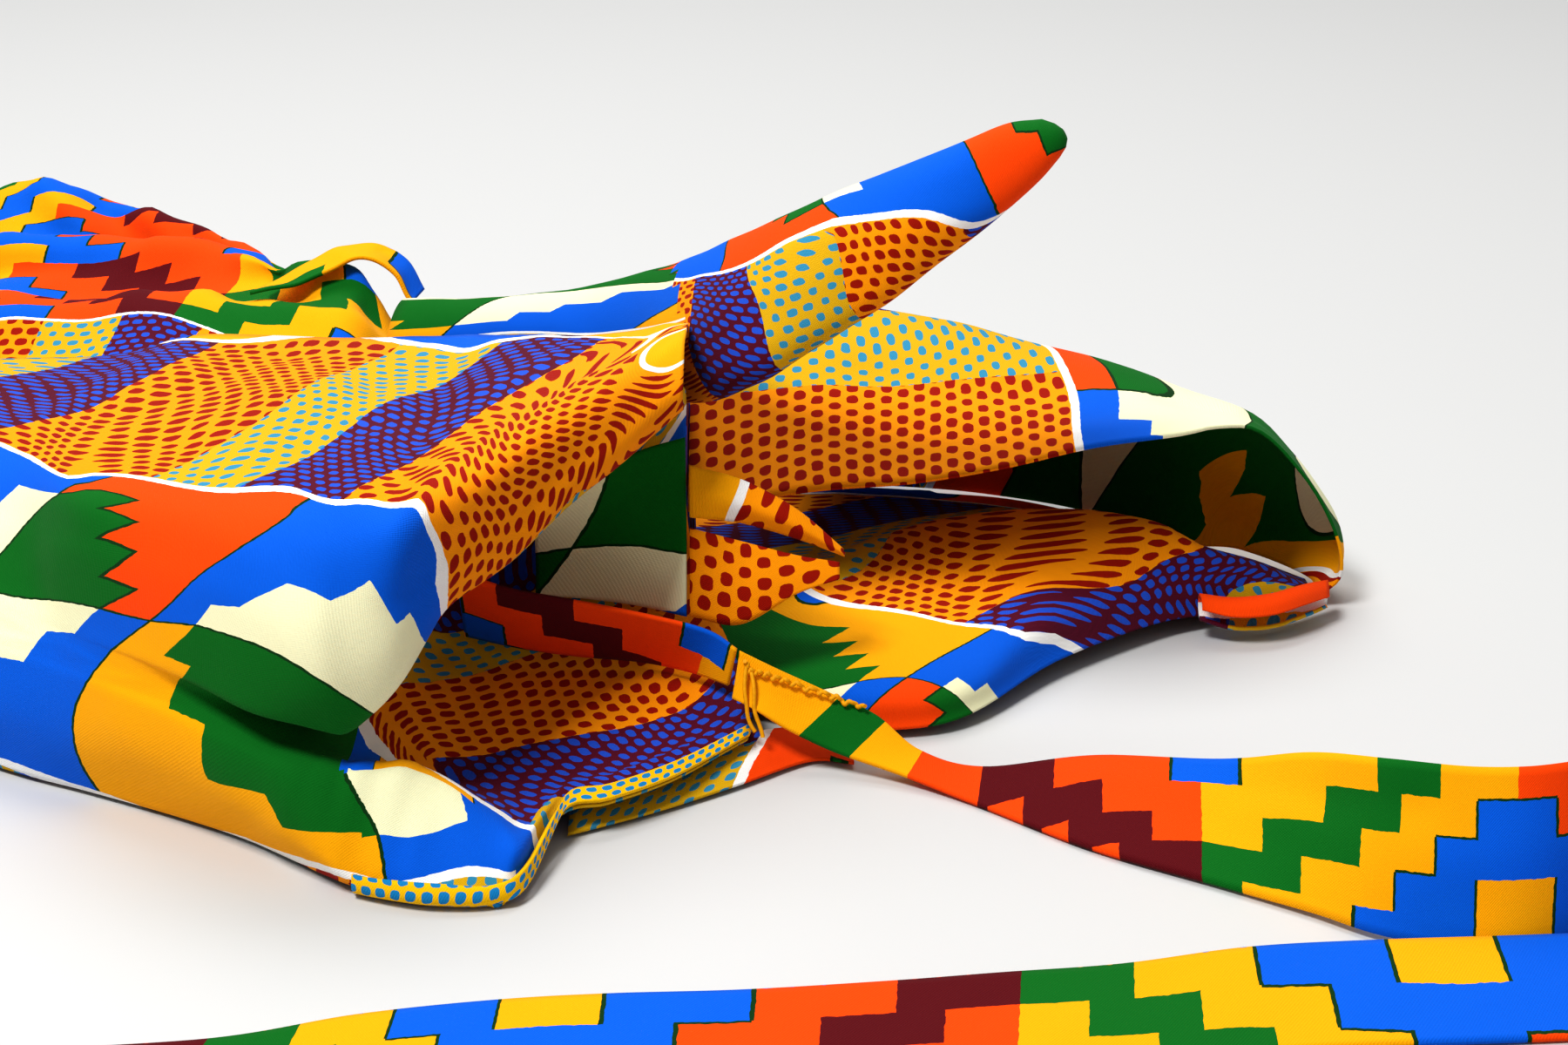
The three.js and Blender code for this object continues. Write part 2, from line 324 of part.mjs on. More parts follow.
// A smooth line through the given points, with the same number of steps between each pair.
function lineThrough(points, steps) {
  const last = points.length - 1;
  const first = points[0].map((value, axis) => 2 * value - points[1][axis]);
  const beyond = points[last].map((value, axis) => 2 * value - points[last - 1][axis]);
  const padded = [first, ...points, beyond];
  const line = [];
  for (let span = 0; span < last; span += 1) {
    for (let step = 0; step < steps; step += 1) {
      const share = step / steps;
      line.push([0, 1, 2].map((axis) => smoothStep(padded[span][axis], padded[span + 1][axis],
        padded[span + 2][axis], padded[span + 3][axis], share)));
    }
  }
  line.push([...points[last]]);
  return line;
}

// A grid of points through a net of control points, smooth both ways.
function gridThrough(net, rowSteps, columnSteps) {
  const rows = net.map((row) => lineThrough(row, columnSteps));
  const columns = rows[0].map((_, column) => lineThrough(rows.map((row) => row[column]), rowSteps));
  return columns[0].map((_, row) => columns.map((line) => line[row]));
}

// Control points from a table of upright cuts: each place is a Y and a Z at the cut's X.
function netFromCuts(cuts, places) {
  return cuts.map((cut) => places.map((place, index) => {
    const xLow = cut.xLow ?? cut.x;
    const xTop = cut.xTop ?? cut.x;
    return [index < LOW_PLACES ? xLow : xTop, cut[`${place}Y`], cut[`${place}Z`]];
  }));
}

// Control points from a table whose places each have an X, a Y and a Z.
function netFromPlaces(stations, places) {
  return stations.map((station) => places.map(
    (place) => [station[`${place}X`], station[`${place}Y`], station[`${place}Z`]]));
}

function difference(a, b) {
  return new THREE.Vector3(a[0] - b[0], a[1] - b[1], a[2] - b[2]);
}

// The direction square to the cloth at each point of a grid.
function gridNormals(grid) {
  const lastRow = grid.length - 1;
  const lastColumn = grid[0].length - 1;
  return grid.map((line, row) => line.map((_, column) => {
    const along = difference(grid[Math.min(row + 1, lastRow)][column],
      grid[Math.max(row - 1, 0)][column]);
    const across = difference(grid[row][Math.min(column + 1, lastColumn)],
      grid[row][Math.max(column - 1, 0)]);
    return along.cross(across).normalize();
  }));
}

// The grid moved along its normals.
function movedGrid(grid, distance) {
  const normals = gridNormals(grid);
  return grid.map((line, row) => line.map((point, column) => {
    const moved = normals[row][column].clone().multiplyScalar(distance);
    return [point[0] + moved.x, point[1] + moved.y, Math.max(point[2] + moved.z, TABLE_CLEARANCE)];
  }));
}

// --- Closed solids ---

function solidFrom(points, triangles) {
  const geometry = new THREE.BufferGeometry();
  geometry.setAttribute('position', new THREE.Float32BufferAttribute(points.flat(), 3));
  geometry.setIndex(triangles.flat());
  return geometry;
}

// Faces turned outwards: the signed volume says whether they are.
function facedOut(points, triangles) {
  const [a, b, c] = [new THREE.Vector3(), new THREE.Vector3(), new THREE.Vector3()];
  let volume = 0;
  for (const [first, second, third] of triangles) {
    a.fromArray(points[first]);
    b.fromArray(points[second]);
    c.fromArray(points[third]);
    volume += a.dot(b.cross(c));
  }
  const ordered = volume < 0 ? triangles.map(([p, q, r]) => [p, r, q]) : triangles;
  return solidFrom(points, ordered);
}

// A cloth wall between two grids of the same size.
function wallBetween(outer, inner) {
  const rows = outer.length;
  const columns = outer[0].length;
  const points = [...outer.flat(), ...inner.flat()];
  const outerAt = (row, column) => row * columns + column;
  const innerAt = (row, column) => rows * columns + row * columns + column;
  const triangles = [];
  const quad = (a, b, c, d) => triangles.push([a, b, c], [a, c, d]);
  for (let row = 0; row < rows - 1; row += 1) {
    for (let column = 0; column < columns - 1; column += 1) {
      quad(outerAt(row, column), outerAt(row + 1, column), outerAt(row + 1, column + 1),
        outerAt(row, column + 1));
      quad(innerAt(row, column), innerAt(row, column + 1), innerAt(row + 1, column + 1),
        innerAt(row + 1, column));
    }
    quad(outerAt(row, 0), innerAt(row, 0), innerAt(row + 1, 0), outerAt(row + 1, 0));
    quad(outerAt(row, columns - 1), outerAt(row + 1, columns - 1), innerAt(row + 1, columns - 1),
      innerAt(row, columns - 1));
  }
  for (let column = 0; column < columns - 1; column += 1) {
    quad(outerAt(0, column), outerAt(0, column + 1), innerAt(0, column + 1), innerAt(0, column));
    quad(outerAt(rows - 1, column), innerAt(rows - 1, column), innerAt(rows - 1, column + 1),
      outerAt(rows - 1, column + 1));
  }
  return facedOut(points, triangles);
}

function clothWall(grid, thickness) {
  return wallBetween(grid, movedGrid(grid, -thickness));
}

// A ring of points round a flattened roll: the two edges joined by swelling near and far faces.
function rollRing(station, axis, count, inset) {
  const low = new THREE.Vector3(station.lowX, station.lowY, station.lowZ);
  const up = new THREE.Vector3(station.upX, station.upY, station.upZ);
  const middle = low.clone().add(up).multiplyScalar(0.5);
  const rise = up.clone().sub(low).multiplyScalar(0.5);
  const halfWidth = rise.length() - inset;
  rise.normalize();
  const outwards = axis.clone().cross(rise).normalize();
  const ring = [];
  for (let step = 0; step < count; step += 1) {
    const angle = 2 * Math.PI * step / count;
    const point = middle.clone()
      .addScaledVector(rise, -halfWidth * Math.cos(angle))
      .addScaledVector(outwards, (station.swell - inset) * Math.sin(angle));
    ring.push([point.x, point.y, point.z]);
  }
  return ring;
}

function ringAxis(stations, index) {
  const before = stations[Math.max(index - 1, 0)];
  const after = stations[Math.min(index + 1, stations.length - 1)];
  return new THREE.Vector3(after.lowX + after.upX - before.lowX - before.upX,
    after.lowY + after.upY - before.lowY - before.upY,
    after.lowZ + after.upZ - before.lowZ - before.upZ).normalize();
}

// Stations added half-way along, on smooth lines through the given ones.
function betweenStations(stations, steps) {
  const edge = (place) => lineThrough(stations.map(
    (station) => [station[`${place}X`], station[`${place}Y`], station[`${place}Z`]]), steps);
  const low = edge('low');
  const up = edge('up');
  const swells = lineThrough(stations.map((station) => [station.swell, 0, 0]), steps);
  return low.map((point, index) => ({ lowX: point[0], lowY: point[1], lowZ: point[2],
    upX: up[index][0], upY: up[index][1], upZ: up[index][2], swell: swells[index][0] }));
}

// The raised point: a roll open at its root and closed at its tip, with a wall all round.
function pointedRoll(stations, tip, count, thickness) {
  const rings = (inset, total) => stations.slice(0, total).map(
    (station, index) => rollRing(station, ringAxis(stations, index), count, inset));
  const outer = rings(0, stations.length);
  const innerCount = stations.length - 2;
  const inner = rings(thickness, innerCount);
  const innerEnd = inner[innerCount - 1];
  const innerTip = [0, 1, 2].map(
    (axis) => innerEnd.reduce((sum, point) => sum + point[axis], 0) / count + (tip[axis]
      - stations[innerCount - 1][['upX', 'upY', 'upZ'][axis]]) * 0.2);
  const points = [...outer.flat(), ...inner.flat(), tip, innerTip];
  const innerStart = stations.length * count;
  const tipIndex = innerStart + innerCount * count;
  const triangles = [];
  const quad = (a, b, c, d) => triangles.push([a, b, c], [a, c, d]);
  const skin = (start, total, reversed) => {
    for (let ring = 0; ring < total - 1; ring += 1) {
      for (let step = 0; step < count; step += 1) {
        const next = (step + 1) % count;
        const here = start + ring * count;
        const corners = [here + step, here + next, here + count + next, here + count + step];
        quad(...(reversed ? corners.reverse() : corners));
      }
    }
  };
  const cap = (start, apex, reversed) => {
    for (let step = 0; step < count; step += 1) {
      const next = (step + 1) % count;
      triangles.push(reversed ? [apex, start + next, start + step] : [start + step, start + next, apex]);
    }
  };
  skin(0, stations.length, false);
  skin(innerStart, innerCount, true);
  cap((stations.length - 1) * count, tipIndex, false);
  cap(innerStart + (innerCount - 1) * count, tipIndex + 1, true);
  for (let step = 0; step < count; step += 1) {
    const next = (step + 1) % count;
    quad(step, innerStart + step, innerStart + next, next);
  }
  return facedOut(points, triangles);
}

// A solid through closed rings, with a flat fan at each end.
function solidThrough(rings) {
  const count = rings[0].length;
  const points = rings.flat();
  const triangles = [];
  for (let ring = 0; ring < rings.length - 1; ring += 1) {
    for (let step = 0; step < count; step += 1) {
      const next = (step + 1) % count;
      const here = ring * count;
      triangles.push([here + step, here + next, here + count + next],
        [here + step, here + count + next, here + count + step]);
    }
  }
  const end = (rings.length - 1) * count;
  for (let step = 1; step < count - 1; step += 1) {
    triangles.push([0, step + 1, step], [end, end + step, end + step + 1]);
  }
  return facedOut(points, triangles);
}

// --- The apron's pieces ---

const panelNet = netFromCuts(PANEL_CUTS, PANEL_PLACES);
const panelGrid = gridThrough(panelNet, 2, 3);

function hemOnPanel() {
  const firstRow = 2 * PANEL_CUTS.findIndex((cut) => cut.xLow > -91);
  const hemColumns = 4;
  const strip = panelGrid.slice(firstRow).map((line) => line.slice(0, hemColumns));
  const under = movedGrid(strip, HEM_STANDOFF);
  return wallBetween(movedGrid(strip, HEM_STANDOFF + HEM_WALL), under);
}

function curlGrid() {
  const turns = 10;
  return EDGE_CURL_STATIONS.map((station) => {
    const ring = [];
    for (let step = 0; step <= turns; step += 1) {
      const angle = CURL_START + CURL_SWEEP * step / turns;
      const radius = station.radius * (1 - 0.25 * step / turns);
      ring.push([station.x, station.y - radius * Math.cos(angle), station.z + radius * Math.sin(angle)]);
    }
    return ring;
  });
}

function coreRings() {
  const flat = 0.1;
  const net = CORE_CUTS.map((cut) => [
    [cut.x, cut.frontY, flat], [cut.x, cut.shoulderY, cut.shoulderZ], [cut.x, cut.topY, cut.topZ],
    [cut.x, cut.farShoulderY, cut.farShoulderZ], [cut.x, cut.backY, flat]]);
  const grid = gridThrough(net, 2, 3);
  return grid.map((line) => line.map(([x, y, z], index) => [x, y,
    index === 0 || index === line.length - 1 ? 0 : Math.max(z, 1)]));
}

// The ruffle starts just behind the panel's back edge.
function ruffleNet() {
  const backEdge = panelGrid.map((line) => line[line.length - 1]);
  return netFromCuts(RUFFLE_CUTS, RUFFLE_PLACES).map((line) => {
    const x = line[0][0];
    const next = backEdge.findIndex((point) => point[0] > x);
    const [left, right] = [backEdge[next - 1], backEdge[next]];
    const share = (x - left[0]) / (right[0] - left[0]);
    const [y, z] = [1, 2].map((axis) => left[axis] + (right[axis] - left[axis]) * share);
    return [[x, y + SEAM + RUFFLE_TUCK, z - RUFFLE_TUCK], ...line];
  });
}

const group = new THREE.Group();

function addPiece(name, geometry, color, roughness) {
  geometry.computeVertexNormals();
  const material = new THREE.MeshStandardMaterial({ color, roughness, metalness: 0 });
  const mesh = new THREE.Mesh(geometry, material);
  mesh.name = name;
  group.add(mesh);
}

const stripNet = (stations) => netFromPlaces(stations, ['low', 'high']);

addPiece('main_panel', clothWall(panelGrid, WALL), PRINT_YELLOW, 0.8);
addPiece('hem_side', hemOnPanel(), PRINT_YELLOW, 0.82);
addPiece('raised_point', pointedRoll(betweenStations(POINT_RINGS, 2), POINT_TIP, 18, WALL),
  PRINT_ORANGE, 0.8);
addPiece('back_ruffle', clothWall(gridThrough(ruffleNet(), 2, 3), WALL),
  PRINT_ORANGE, 0.82);
addPiece('loop_upper', clothWall(
  gridThrough(netFromPlaces(LOOP_UPPER_CUTS, ['rim', 'crown', 'back', 'hem']), 2, 4), WALL),
PRINT_ORANGE, 0.8);
addPiece('loop_lower', clothWall(
  gridThrough(netFromCuts(LOOP_LOWER_CUTS, LOOP_LOWER_PLACES), 2, 3), WALL), PRINT_YELLOW, 0.8);
addPiece('loop_edge_curl', clothWall(gridThrough(curlGrid(), 2, 1), WALL), PRINT_ORANGE, 0.8);
addPiece('inner_drape', clothWall(
  gridThrough(netFromCuts(INNER_DRAPE_CUTS, INNER_DRAPE_PLACES), 3, 3), WALL), PRINT_GREEN, 0.8);
addPiece('small_loop_upper', clothWall(
  gridThrough(netFromCuts(BEAK_UPPER_CUTS, BEAK_PLACES), 3, 4), WALL), PRINT_ORANGE, 0.8);
addPiece('small_loop_lower', clothWall(
  gridThrough(netFromCuts(BEAK_LOWER_CUTS, BEAK_PLACES), 3, 4), WALL), PRINT_ORANGE, 0.8);
addPiece('under_layer', clothWall(
  gridThrough(netFromCuts(UNDER_LAYER_CUTS, UNDER_LAYER_PLACES), 3, 3), WALL), PRINT_ORANGE, 0.82);
addPiece('waistband', clothWall(gridThrough(stripNet(WAISTBAND_STATIONS), 3, 3), TIE_WALL),
  PRINT_BURGUNDY, 0.78);
addPiece('strap_back', clothWall(gridThrough(stripNet(STRAP_BACK_STATIONS), 3, 3), TIE_WALL),
  PRINT_YELLOW, 0.78);
addPiece('tie_right', clothWall(gridThrough(stripNet(TIE_RIGHT_STATIONS), 3, 4), TIE_WALL),
  PRINT_CREAM, 0.78);
addPiece('tie_front', clothWall(gridThrough(stripNet(TIE_FRONT_STATIONS), 3, 4), TIE_WALL),
  PRINT_BLUE, 0.78);
addPiece('hidden_layers', solidThrough(coreRings()), HIDDEN_SHADE, 0.85);

group.position.set(-HEAP_CENTRE.x, -HEAP_CENTRE.y, 0);

export default group;
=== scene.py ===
"""Kente cotton waist apron dropped in a soft heap: its printed cloth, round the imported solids."""
import math
import bpy
import numpy as np
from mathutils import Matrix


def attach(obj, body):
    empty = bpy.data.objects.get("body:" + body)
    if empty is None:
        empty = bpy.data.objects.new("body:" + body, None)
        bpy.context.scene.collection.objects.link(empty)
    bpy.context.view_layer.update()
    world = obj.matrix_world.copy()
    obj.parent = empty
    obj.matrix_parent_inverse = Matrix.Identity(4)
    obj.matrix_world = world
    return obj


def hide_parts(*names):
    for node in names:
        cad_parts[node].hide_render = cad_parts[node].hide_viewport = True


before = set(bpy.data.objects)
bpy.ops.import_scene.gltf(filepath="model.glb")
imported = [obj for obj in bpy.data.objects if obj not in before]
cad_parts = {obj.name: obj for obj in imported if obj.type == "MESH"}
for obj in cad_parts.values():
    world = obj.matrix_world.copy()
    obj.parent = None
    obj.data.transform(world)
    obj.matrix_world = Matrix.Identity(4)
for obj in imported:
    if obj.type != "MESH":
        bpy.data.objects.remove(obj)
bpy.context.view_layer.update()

# The tables below are in millimetres, laid out from a point beside the hem's corner.
HEAP_CENTRE = (-44.5, 137.8)
FACE_INSET = 0.25        # how far the cloth's face lies inside the solid's wall
CLOTH_THICKNESS = 0.8
TIE_THICKNESS = 1.0      # a folded strip, two layers
SEAM = 0.3               # between two stretches of the same cloth
HEM_STANDOFF = 0.35      # between the panel and the hem turned over it
HEM_THICKNESS = 0.9
HEM_START_X = -91        # the hem shows from here to the right
RUFFLE_TUCK = 1.3        # how far the ruffle starts under the panel's back edge
LOW_PLACES = 4           # the first places of a cut, which share its lower x
LOWEST = 0.35            # no cloth lies lower than this above the table


# --- Camera, table top and light ---

CAMERA_PLACE = (0.0445, -0.7218, 0.3099)
CAMERA_TILT, CAMERA_ANGLE = math.radians(69), math.radians(28)
TABLE_SIZE, TABLE_TOP = 16, -0.0002


def made_camera():
    bpy.ops.object.camera_add(location=CAMERA_PLACE, rotation=(CAMERA_TILT, 0, 0))
    camera = bpy.context.object
    camera.name = "camera"
    camera.data.sensor_fit = "HORIZONTAL"
    camera.data.sensor_width = 36
    camera.data.angle = CAMERA_ANGLE
    bpy.context.scene.camera = camera


def add_area(name, place, aim, size, power):
    """A white area lamp at a place, turned to its aim."""
    bpy.ops.object.light_add(type="AREA", location=place)
    lamp = bpy.context.object
    lamp.name = name
    lamp.data.shape = "RECTANGLE"
    lamp.data.size, lamp.data.size_y = size
    lamp.data.energy = power
    away = np.array(place) - np.array(aim)
    across = math.hypot(away[0], away[1])
    lamp.rotation_euler = (math.atan2(across, away[2]), 0, math.atan2(away[0], -away[1]))


def made_stage():
    bpy.ops.mesh.primitive_plane_add(size=TABLE_SIZE, location=(0, 0, TABLE_TOP))
    floor = bpy.context.object
    floor.name = "table_top"
    material = bpy.data.materials.new("white_table")
    material.use_nodes = True
    shader = material.node_tree.nodes["Principled BSDF"]
    shader.inputs["Base Color"].default_value = (0.62, 0.62, 0.613, 1)
    shader.inputs["Roughness"].default_value = 0.6
    shader.inputs["Specular IOR Level"].default_value = 0.25
    floor.data.materials.append(material)


def made_light():
    world = bpy.context.scene.world or bpy.data.worlds.new("studio")
    bpy.context.scene.world = world
    world.use_nodes = True
    sky = world.node_tree.nodes["Background"]
    sky.inputs["Color"].default_value = (1, 1, 1, 1)
    sky.inputs["Strength"].default_value = 0.26
    add_area("soft_key", (-0.52, -0.6, 1.4), aim=(0.02, 0, 0.03), size=(0.45, 0.4), power=19)
    add_area("soft_top", (-0.1, 0.7, 1.4), aim=(0.05, 0.1, 0), size=(1.2, 0.9), power=14)
    bpy.context.scene.view_settings.view_transform = "Standard"
    bpy.context.scene.view_settings.look = "Medium High Contrast"


made_camera()
made_stage()
made_light()

# --- The cloth's forms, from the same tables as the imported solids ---

# Cuts across the panel: (x low, x top), then (y, z) of each place:
# foot, belly, lobe, floor, turn, under, chin, brow, crest, saddle, back.
PANEL_CUTS = (
    ((-298, -298), (160, 1), (161, 3), (163, 5), (164.5, 6.2), (166, 7.2), (167.5, 8), (169, 9),
     (175, 12), (186, 15), (212, 16), (236, 14)),
    ((-262, -262), (124, 1), (121, 10), (122, 17), (123.5, 20), (125, 22), (127, 24.5), (129, 27),
     (139, 36), (156, 43), (196, 44), (234, 38)),
    ((-215, -215), (89, 1), (86, 14), (88, 25), (90, 29), (92, 32), (94, 35), (97, 39), (108, 50),
     (130, 59), (178, 55), (221, 48)),
    ((-178, -178), (64, 1), (61, 16), (64, 28), (66, 32), (68, 35), (70, 38), (73, 42), (84, 54),
     (106, 64), (160, 60), (213, 52)),
    ((-156, -156), (52, 1), (47, 16), (47, 29), (48, 33), (49, 36), (50, 39), (51, 43), (56, 60),
     (70, 71), (135, 69), (205, 60)),
    ((-135, -135), (40, 1), (33, 16), (31, 29), (33, 33), (34, 36), (34, 39), (33, 43), (38, 62),
     (56, 74), (122, 71), (202, 61)),
    ((-118, -118), (29, 1), (21, 15), (20, 27), (25, 31.5), (28, 34.5), (25, 37), (20, 40),
     (25, 63), (47, 77), (115, 73), (200, 61)),
    ((-106, -106), (19, 1), (12, 12), (13.5, 25.5), (23, 29), (32, 31.8), (24, 34.6), (14, 36.5),
     (17, 63), (41, 78), (110, 74), (200, 61)),
    ((-97, -97), (11, 1), (6, 9), (13, 24), (26, 26), (48, 29.5), (30, 33.8), (13, 33.5),
     (13, 60), (37, 79), (106, 75), (198, 62)),
    ((-90, -90), (6, 1), (4, 5.5), (15, 24), (32, 21), (66, 28), (36, 36), (15, 33), (14, 58),
     (33, 79.5), (104, 76), (195, 63)),
    ((-80, -80), (2, 1), (0.5, 5.5), (19, 23), (40, 16), (98, 26), (50, 44), (21, 42), (18, 60),
     (27, 80), (100, 76.5), (187, 66)),
    ((-72, -72), (0, 1), (-0.8, 5.2), (20, 19), (43, 12), (112, 27), (62, 55), (35, 52), (28, 64),
     (35, 80), (96, 77), (180, 68)),
    ((-61, -60), (0, 1), (-0.2, 4.5), (14, 13.5), (44, 10), (118, 28), (82, 59), (51, 56),
     (44, 68), (52, 83), (104, 79), (168, 72)),
    ((-55, -53), (3, 2.5), (5.5, 6.2), (10.5, 11), (46, 9.5), (120, 29), (88, 62), (58, 61),
     (52, 71), (61, 85), (108, 80), (160, 74)),
    ((-48, -46), (29, 7), (33, 8.6), (38, 9.4), (54, 10.5), (121, 30), (93, 65), (66, 65),
     (60, 74), (70, 87), (112, 82), (152, 77)),
    ((-38, -35), (34, 7.5), (38, 9), (43, 9.8), (58, 11), (122, 31), (99, 70), (77, 71), (72, 79),
     (84, 90), (114, 86), (140, 82)),
    ((-24, -28), (46, 7.5), (50, 9), (55, 10), (66, 12), (123, 32), (104, 73), (84, 75), (80, 83),
     (93, 92), (113, 90), (129, 87)),
    ((-8, -22.5), (66, 8), (69.5, 9), (73, 10), (82, 13), (123.5, 33), (106, 76), (88, 79),
     (85, 86), (98, 93.5), (112, 92), (120, 90)),
)

# The raised point: (x, y, z) of its lower and upper edge, and half its thickness.
POINT_RINGS = (
    ((-104, 206, 50), (-100, 218, 66), 5),
    ((-80, 193, 54), (-78, 205, 70), 6),
    ((-58, 176, 58), (-58, 190, 76.5), 7),
    ((-38, 153, 60), (-36, 168, 87.5), 7),
    ((-20, 120, 70), (-20, 150, 97.5), 9),
    ((-8, 100, 82), (-7, 138, 106), 10),
    ((6, 99, 91), (5, 130, 114), 10),
    ((22, 101, 100), (20, 122, 123.5), 9.5),
    ((36, 102, 111), (33, 118, 130), 8.5),
    ((48, 102, 120), (43, 114, 135.5), 7),
    ((56.5, 102, 128), (51, 110, 140), 5.5),
    ((61.5, 102, 134), (58, 107, 141.8), 4),
)

# Cuts across the crumpled stretch behind: x, then (y, z) of three dips and rises, fall and foot.
RUFFLE_CUTS = (
    (-296, (250, 7), (264, 14), (280, 9), (296, 15), (310, 10), (326, 14), (342, 8), (350, 1)),
    (-262, (248, 30), (264, 42), (282, 38), (299, 48), (315, 42), (336, 50), (362, 30), (370, 1)),
    (-228, (240, 42), (260, 54.5), (280, 48), (300, 60), (318, 54), (342, 66), (368, 38),
     (374, 1)),
    (-198, (232, 45), (254, 55), (276, 48), (297, 58), (312, 52), (331, 61), (357, 36), (364, 1)),
    (-170, (224, 49), (245, 58), (266, 50), (288, 60), (301, 52), (316, 58), (338, 34), (345, 1)),
    (-142, (217, 52), (234, 60), (250, 55), (264, 63), (276, 54), (286, 50), (302, 28), (309, 1)),
    (-118, (213, 53), (226, 60), (237, 59), (248, 66), (257, 58), (265, 44), (276, 24), (282, 1)),
    (-106, (223.5, 48), (228, 50), (235, 49), (243, 50), (250, 42), (256, 32), (264, 18),
     (269, 1)),
)

# The loop's upper layer: (x, y, z) of rim, crown, back and hem.
LOOP_UPPER_CUTS = (
    ((-23.6, 136, 37), (-23.6, 194, 68), (-23.6, 232, 50), (-22, 246, 2)),
    ((6, 139, 41), (10, 200, 68), (14, 236, 50), (14, 250, 2)),
    ((32, 140, 43), (40, 199, 64), (46, 232, 46), (44, 246, 2)),
    ((54, 140, 47), (62, 197, 60), (66, 227, 42), (62, 240, 2)),
    ((76, 141, 52), (84, 194, 56), (84, 220, 38), (78, 232, 2)),
    ((98, 146, 53), (103, 189, 51), (98, 212, 34), (90, 222, 2)),
    ((117, 158, 51), (120, 184, 45.5), (108, 205, 31), (99, 212, 2)),
    ((131, 160, 38), (132, 181, 34), (114, 202, 25), (103, 207, 2)),
    ((140.5, 161, 22), (141, 179, 20), (118, 200, 17), (106, 204, 2)),
    ((143, 162, 9), (143, 178, 8.5), (121, 198.5, 9), (108, 202, 2)),
    ((137, 163, 2), (137, 178, 2), (122, 195, 3), (110, 200, 2)),
)

# The loop's lower layer: x, then (y, z) of front, rise, crest, down and back.
LOOP_LOWER_CUTS = (
    (-18, (96, 9), (102, 15), (130, 17), (160, 12), (226, 3)),
    (-8, (91, 6), (98, 14), (132, 18), (162, 13), (232, 3)),
    (8, (84, 3.4), (92, 13), (138, 20), (168, 14), (236, 3)),
    (26, (82, 2.8), (91, 12), (148, 23), (178, 15), (236, 3)),
    (44, (89, 3.5), (99, 12), (157, 25), (182, 16), (234, 3)),
    (66, (116, 5), (126, 16), (163, 26), (184, 16), (228, 3)),
    (92, (139, 5), (144, 15), (162, 24.5), (180, 15), (212, 3)),
    (108, (148, 4), (150, 12), (158, 18), (174, 12), (194, 3)),
    (122, (154, 3.5), (157, 9), (163, 12), (175, 8), (190, 2.6)),
    (136.2, (163.5, 2), (166, 2.4), (170, 2.6), (174, 2.4), (177, 2)),
)

# The small roll of the loop's front edge: centre x, y, z and radius.
EDGE_CURL_STATIONS = (
    (104, 142.5, 8, 4.4),
    (112, 141, 6.8, 5.2),
    (122, 143, 6.6, 5.6),
    (131, 149, 6.8, 5.4),
    (138, 155, 6.4, 4.6),
)

# The stretch inside the pocket: x, then (y, z) of hem, lower, upper and top.
INNER_DRAPE_CUTS = (
    (-58, (95, 31), (98, 37), (98, 44), (95.4, 51)),
    (-46, (94, 30.5), (97.5, 40), (98.5, 49), (96.4, 58.4)),
    (-34, (91, 30), (95, 42), (98, 54), (98.5, 65)),
    (-22.8, (87, 29), (91.5, 43), (96.5, 56), (99.5, 68.5)),
)

# The beak-shaped fold's two leaves: x, then (y, z) of edge, bulge and top.
BEAK_UPPER_CUTS = (
    (-21.8, (94.8, 50.5), (95.2, 57), (98.6, 62)),
    (-10, (96, 48.5), (94.5, 54), (98, 59)),
    (3, (96, 44.5), (94.5, 48.5), (97, 52)),
    (14, (95.5, 40.3), (95, 41.5), (96, 42.5)),
)
BEAK_LOWER_CUTS = (
    (-21.8, (87, 29), (90, 39), (93.4, 48.6)),
    (-10, (86.5, 27.2), (89, 37), (93, 45.5)),
    (3, (89.5, 33.6), (91, 37.5), (93.5, 41.8)),
    (13, (92.5, 36.2), (93.5, 37.8), (94.8, 39.6)),
)

# The stretch below the hem: x, then (y, z) of front, middle and back.
UNDER_LAYER_CUTS = (
    (-47, (30.5, 1.7), (36, 3.2), (44, 5)),
    (-28, (42, 1.7), (47, 3.4), (55, 5.4)),
    (-10, (55, 1.7), (60, 4.3), (70, 7)),
    (6, (68, 1.7), (74, 3.6), (80, 4.4)),
    (16, (67, 1.7), (72, 2), (77, 2)),
)

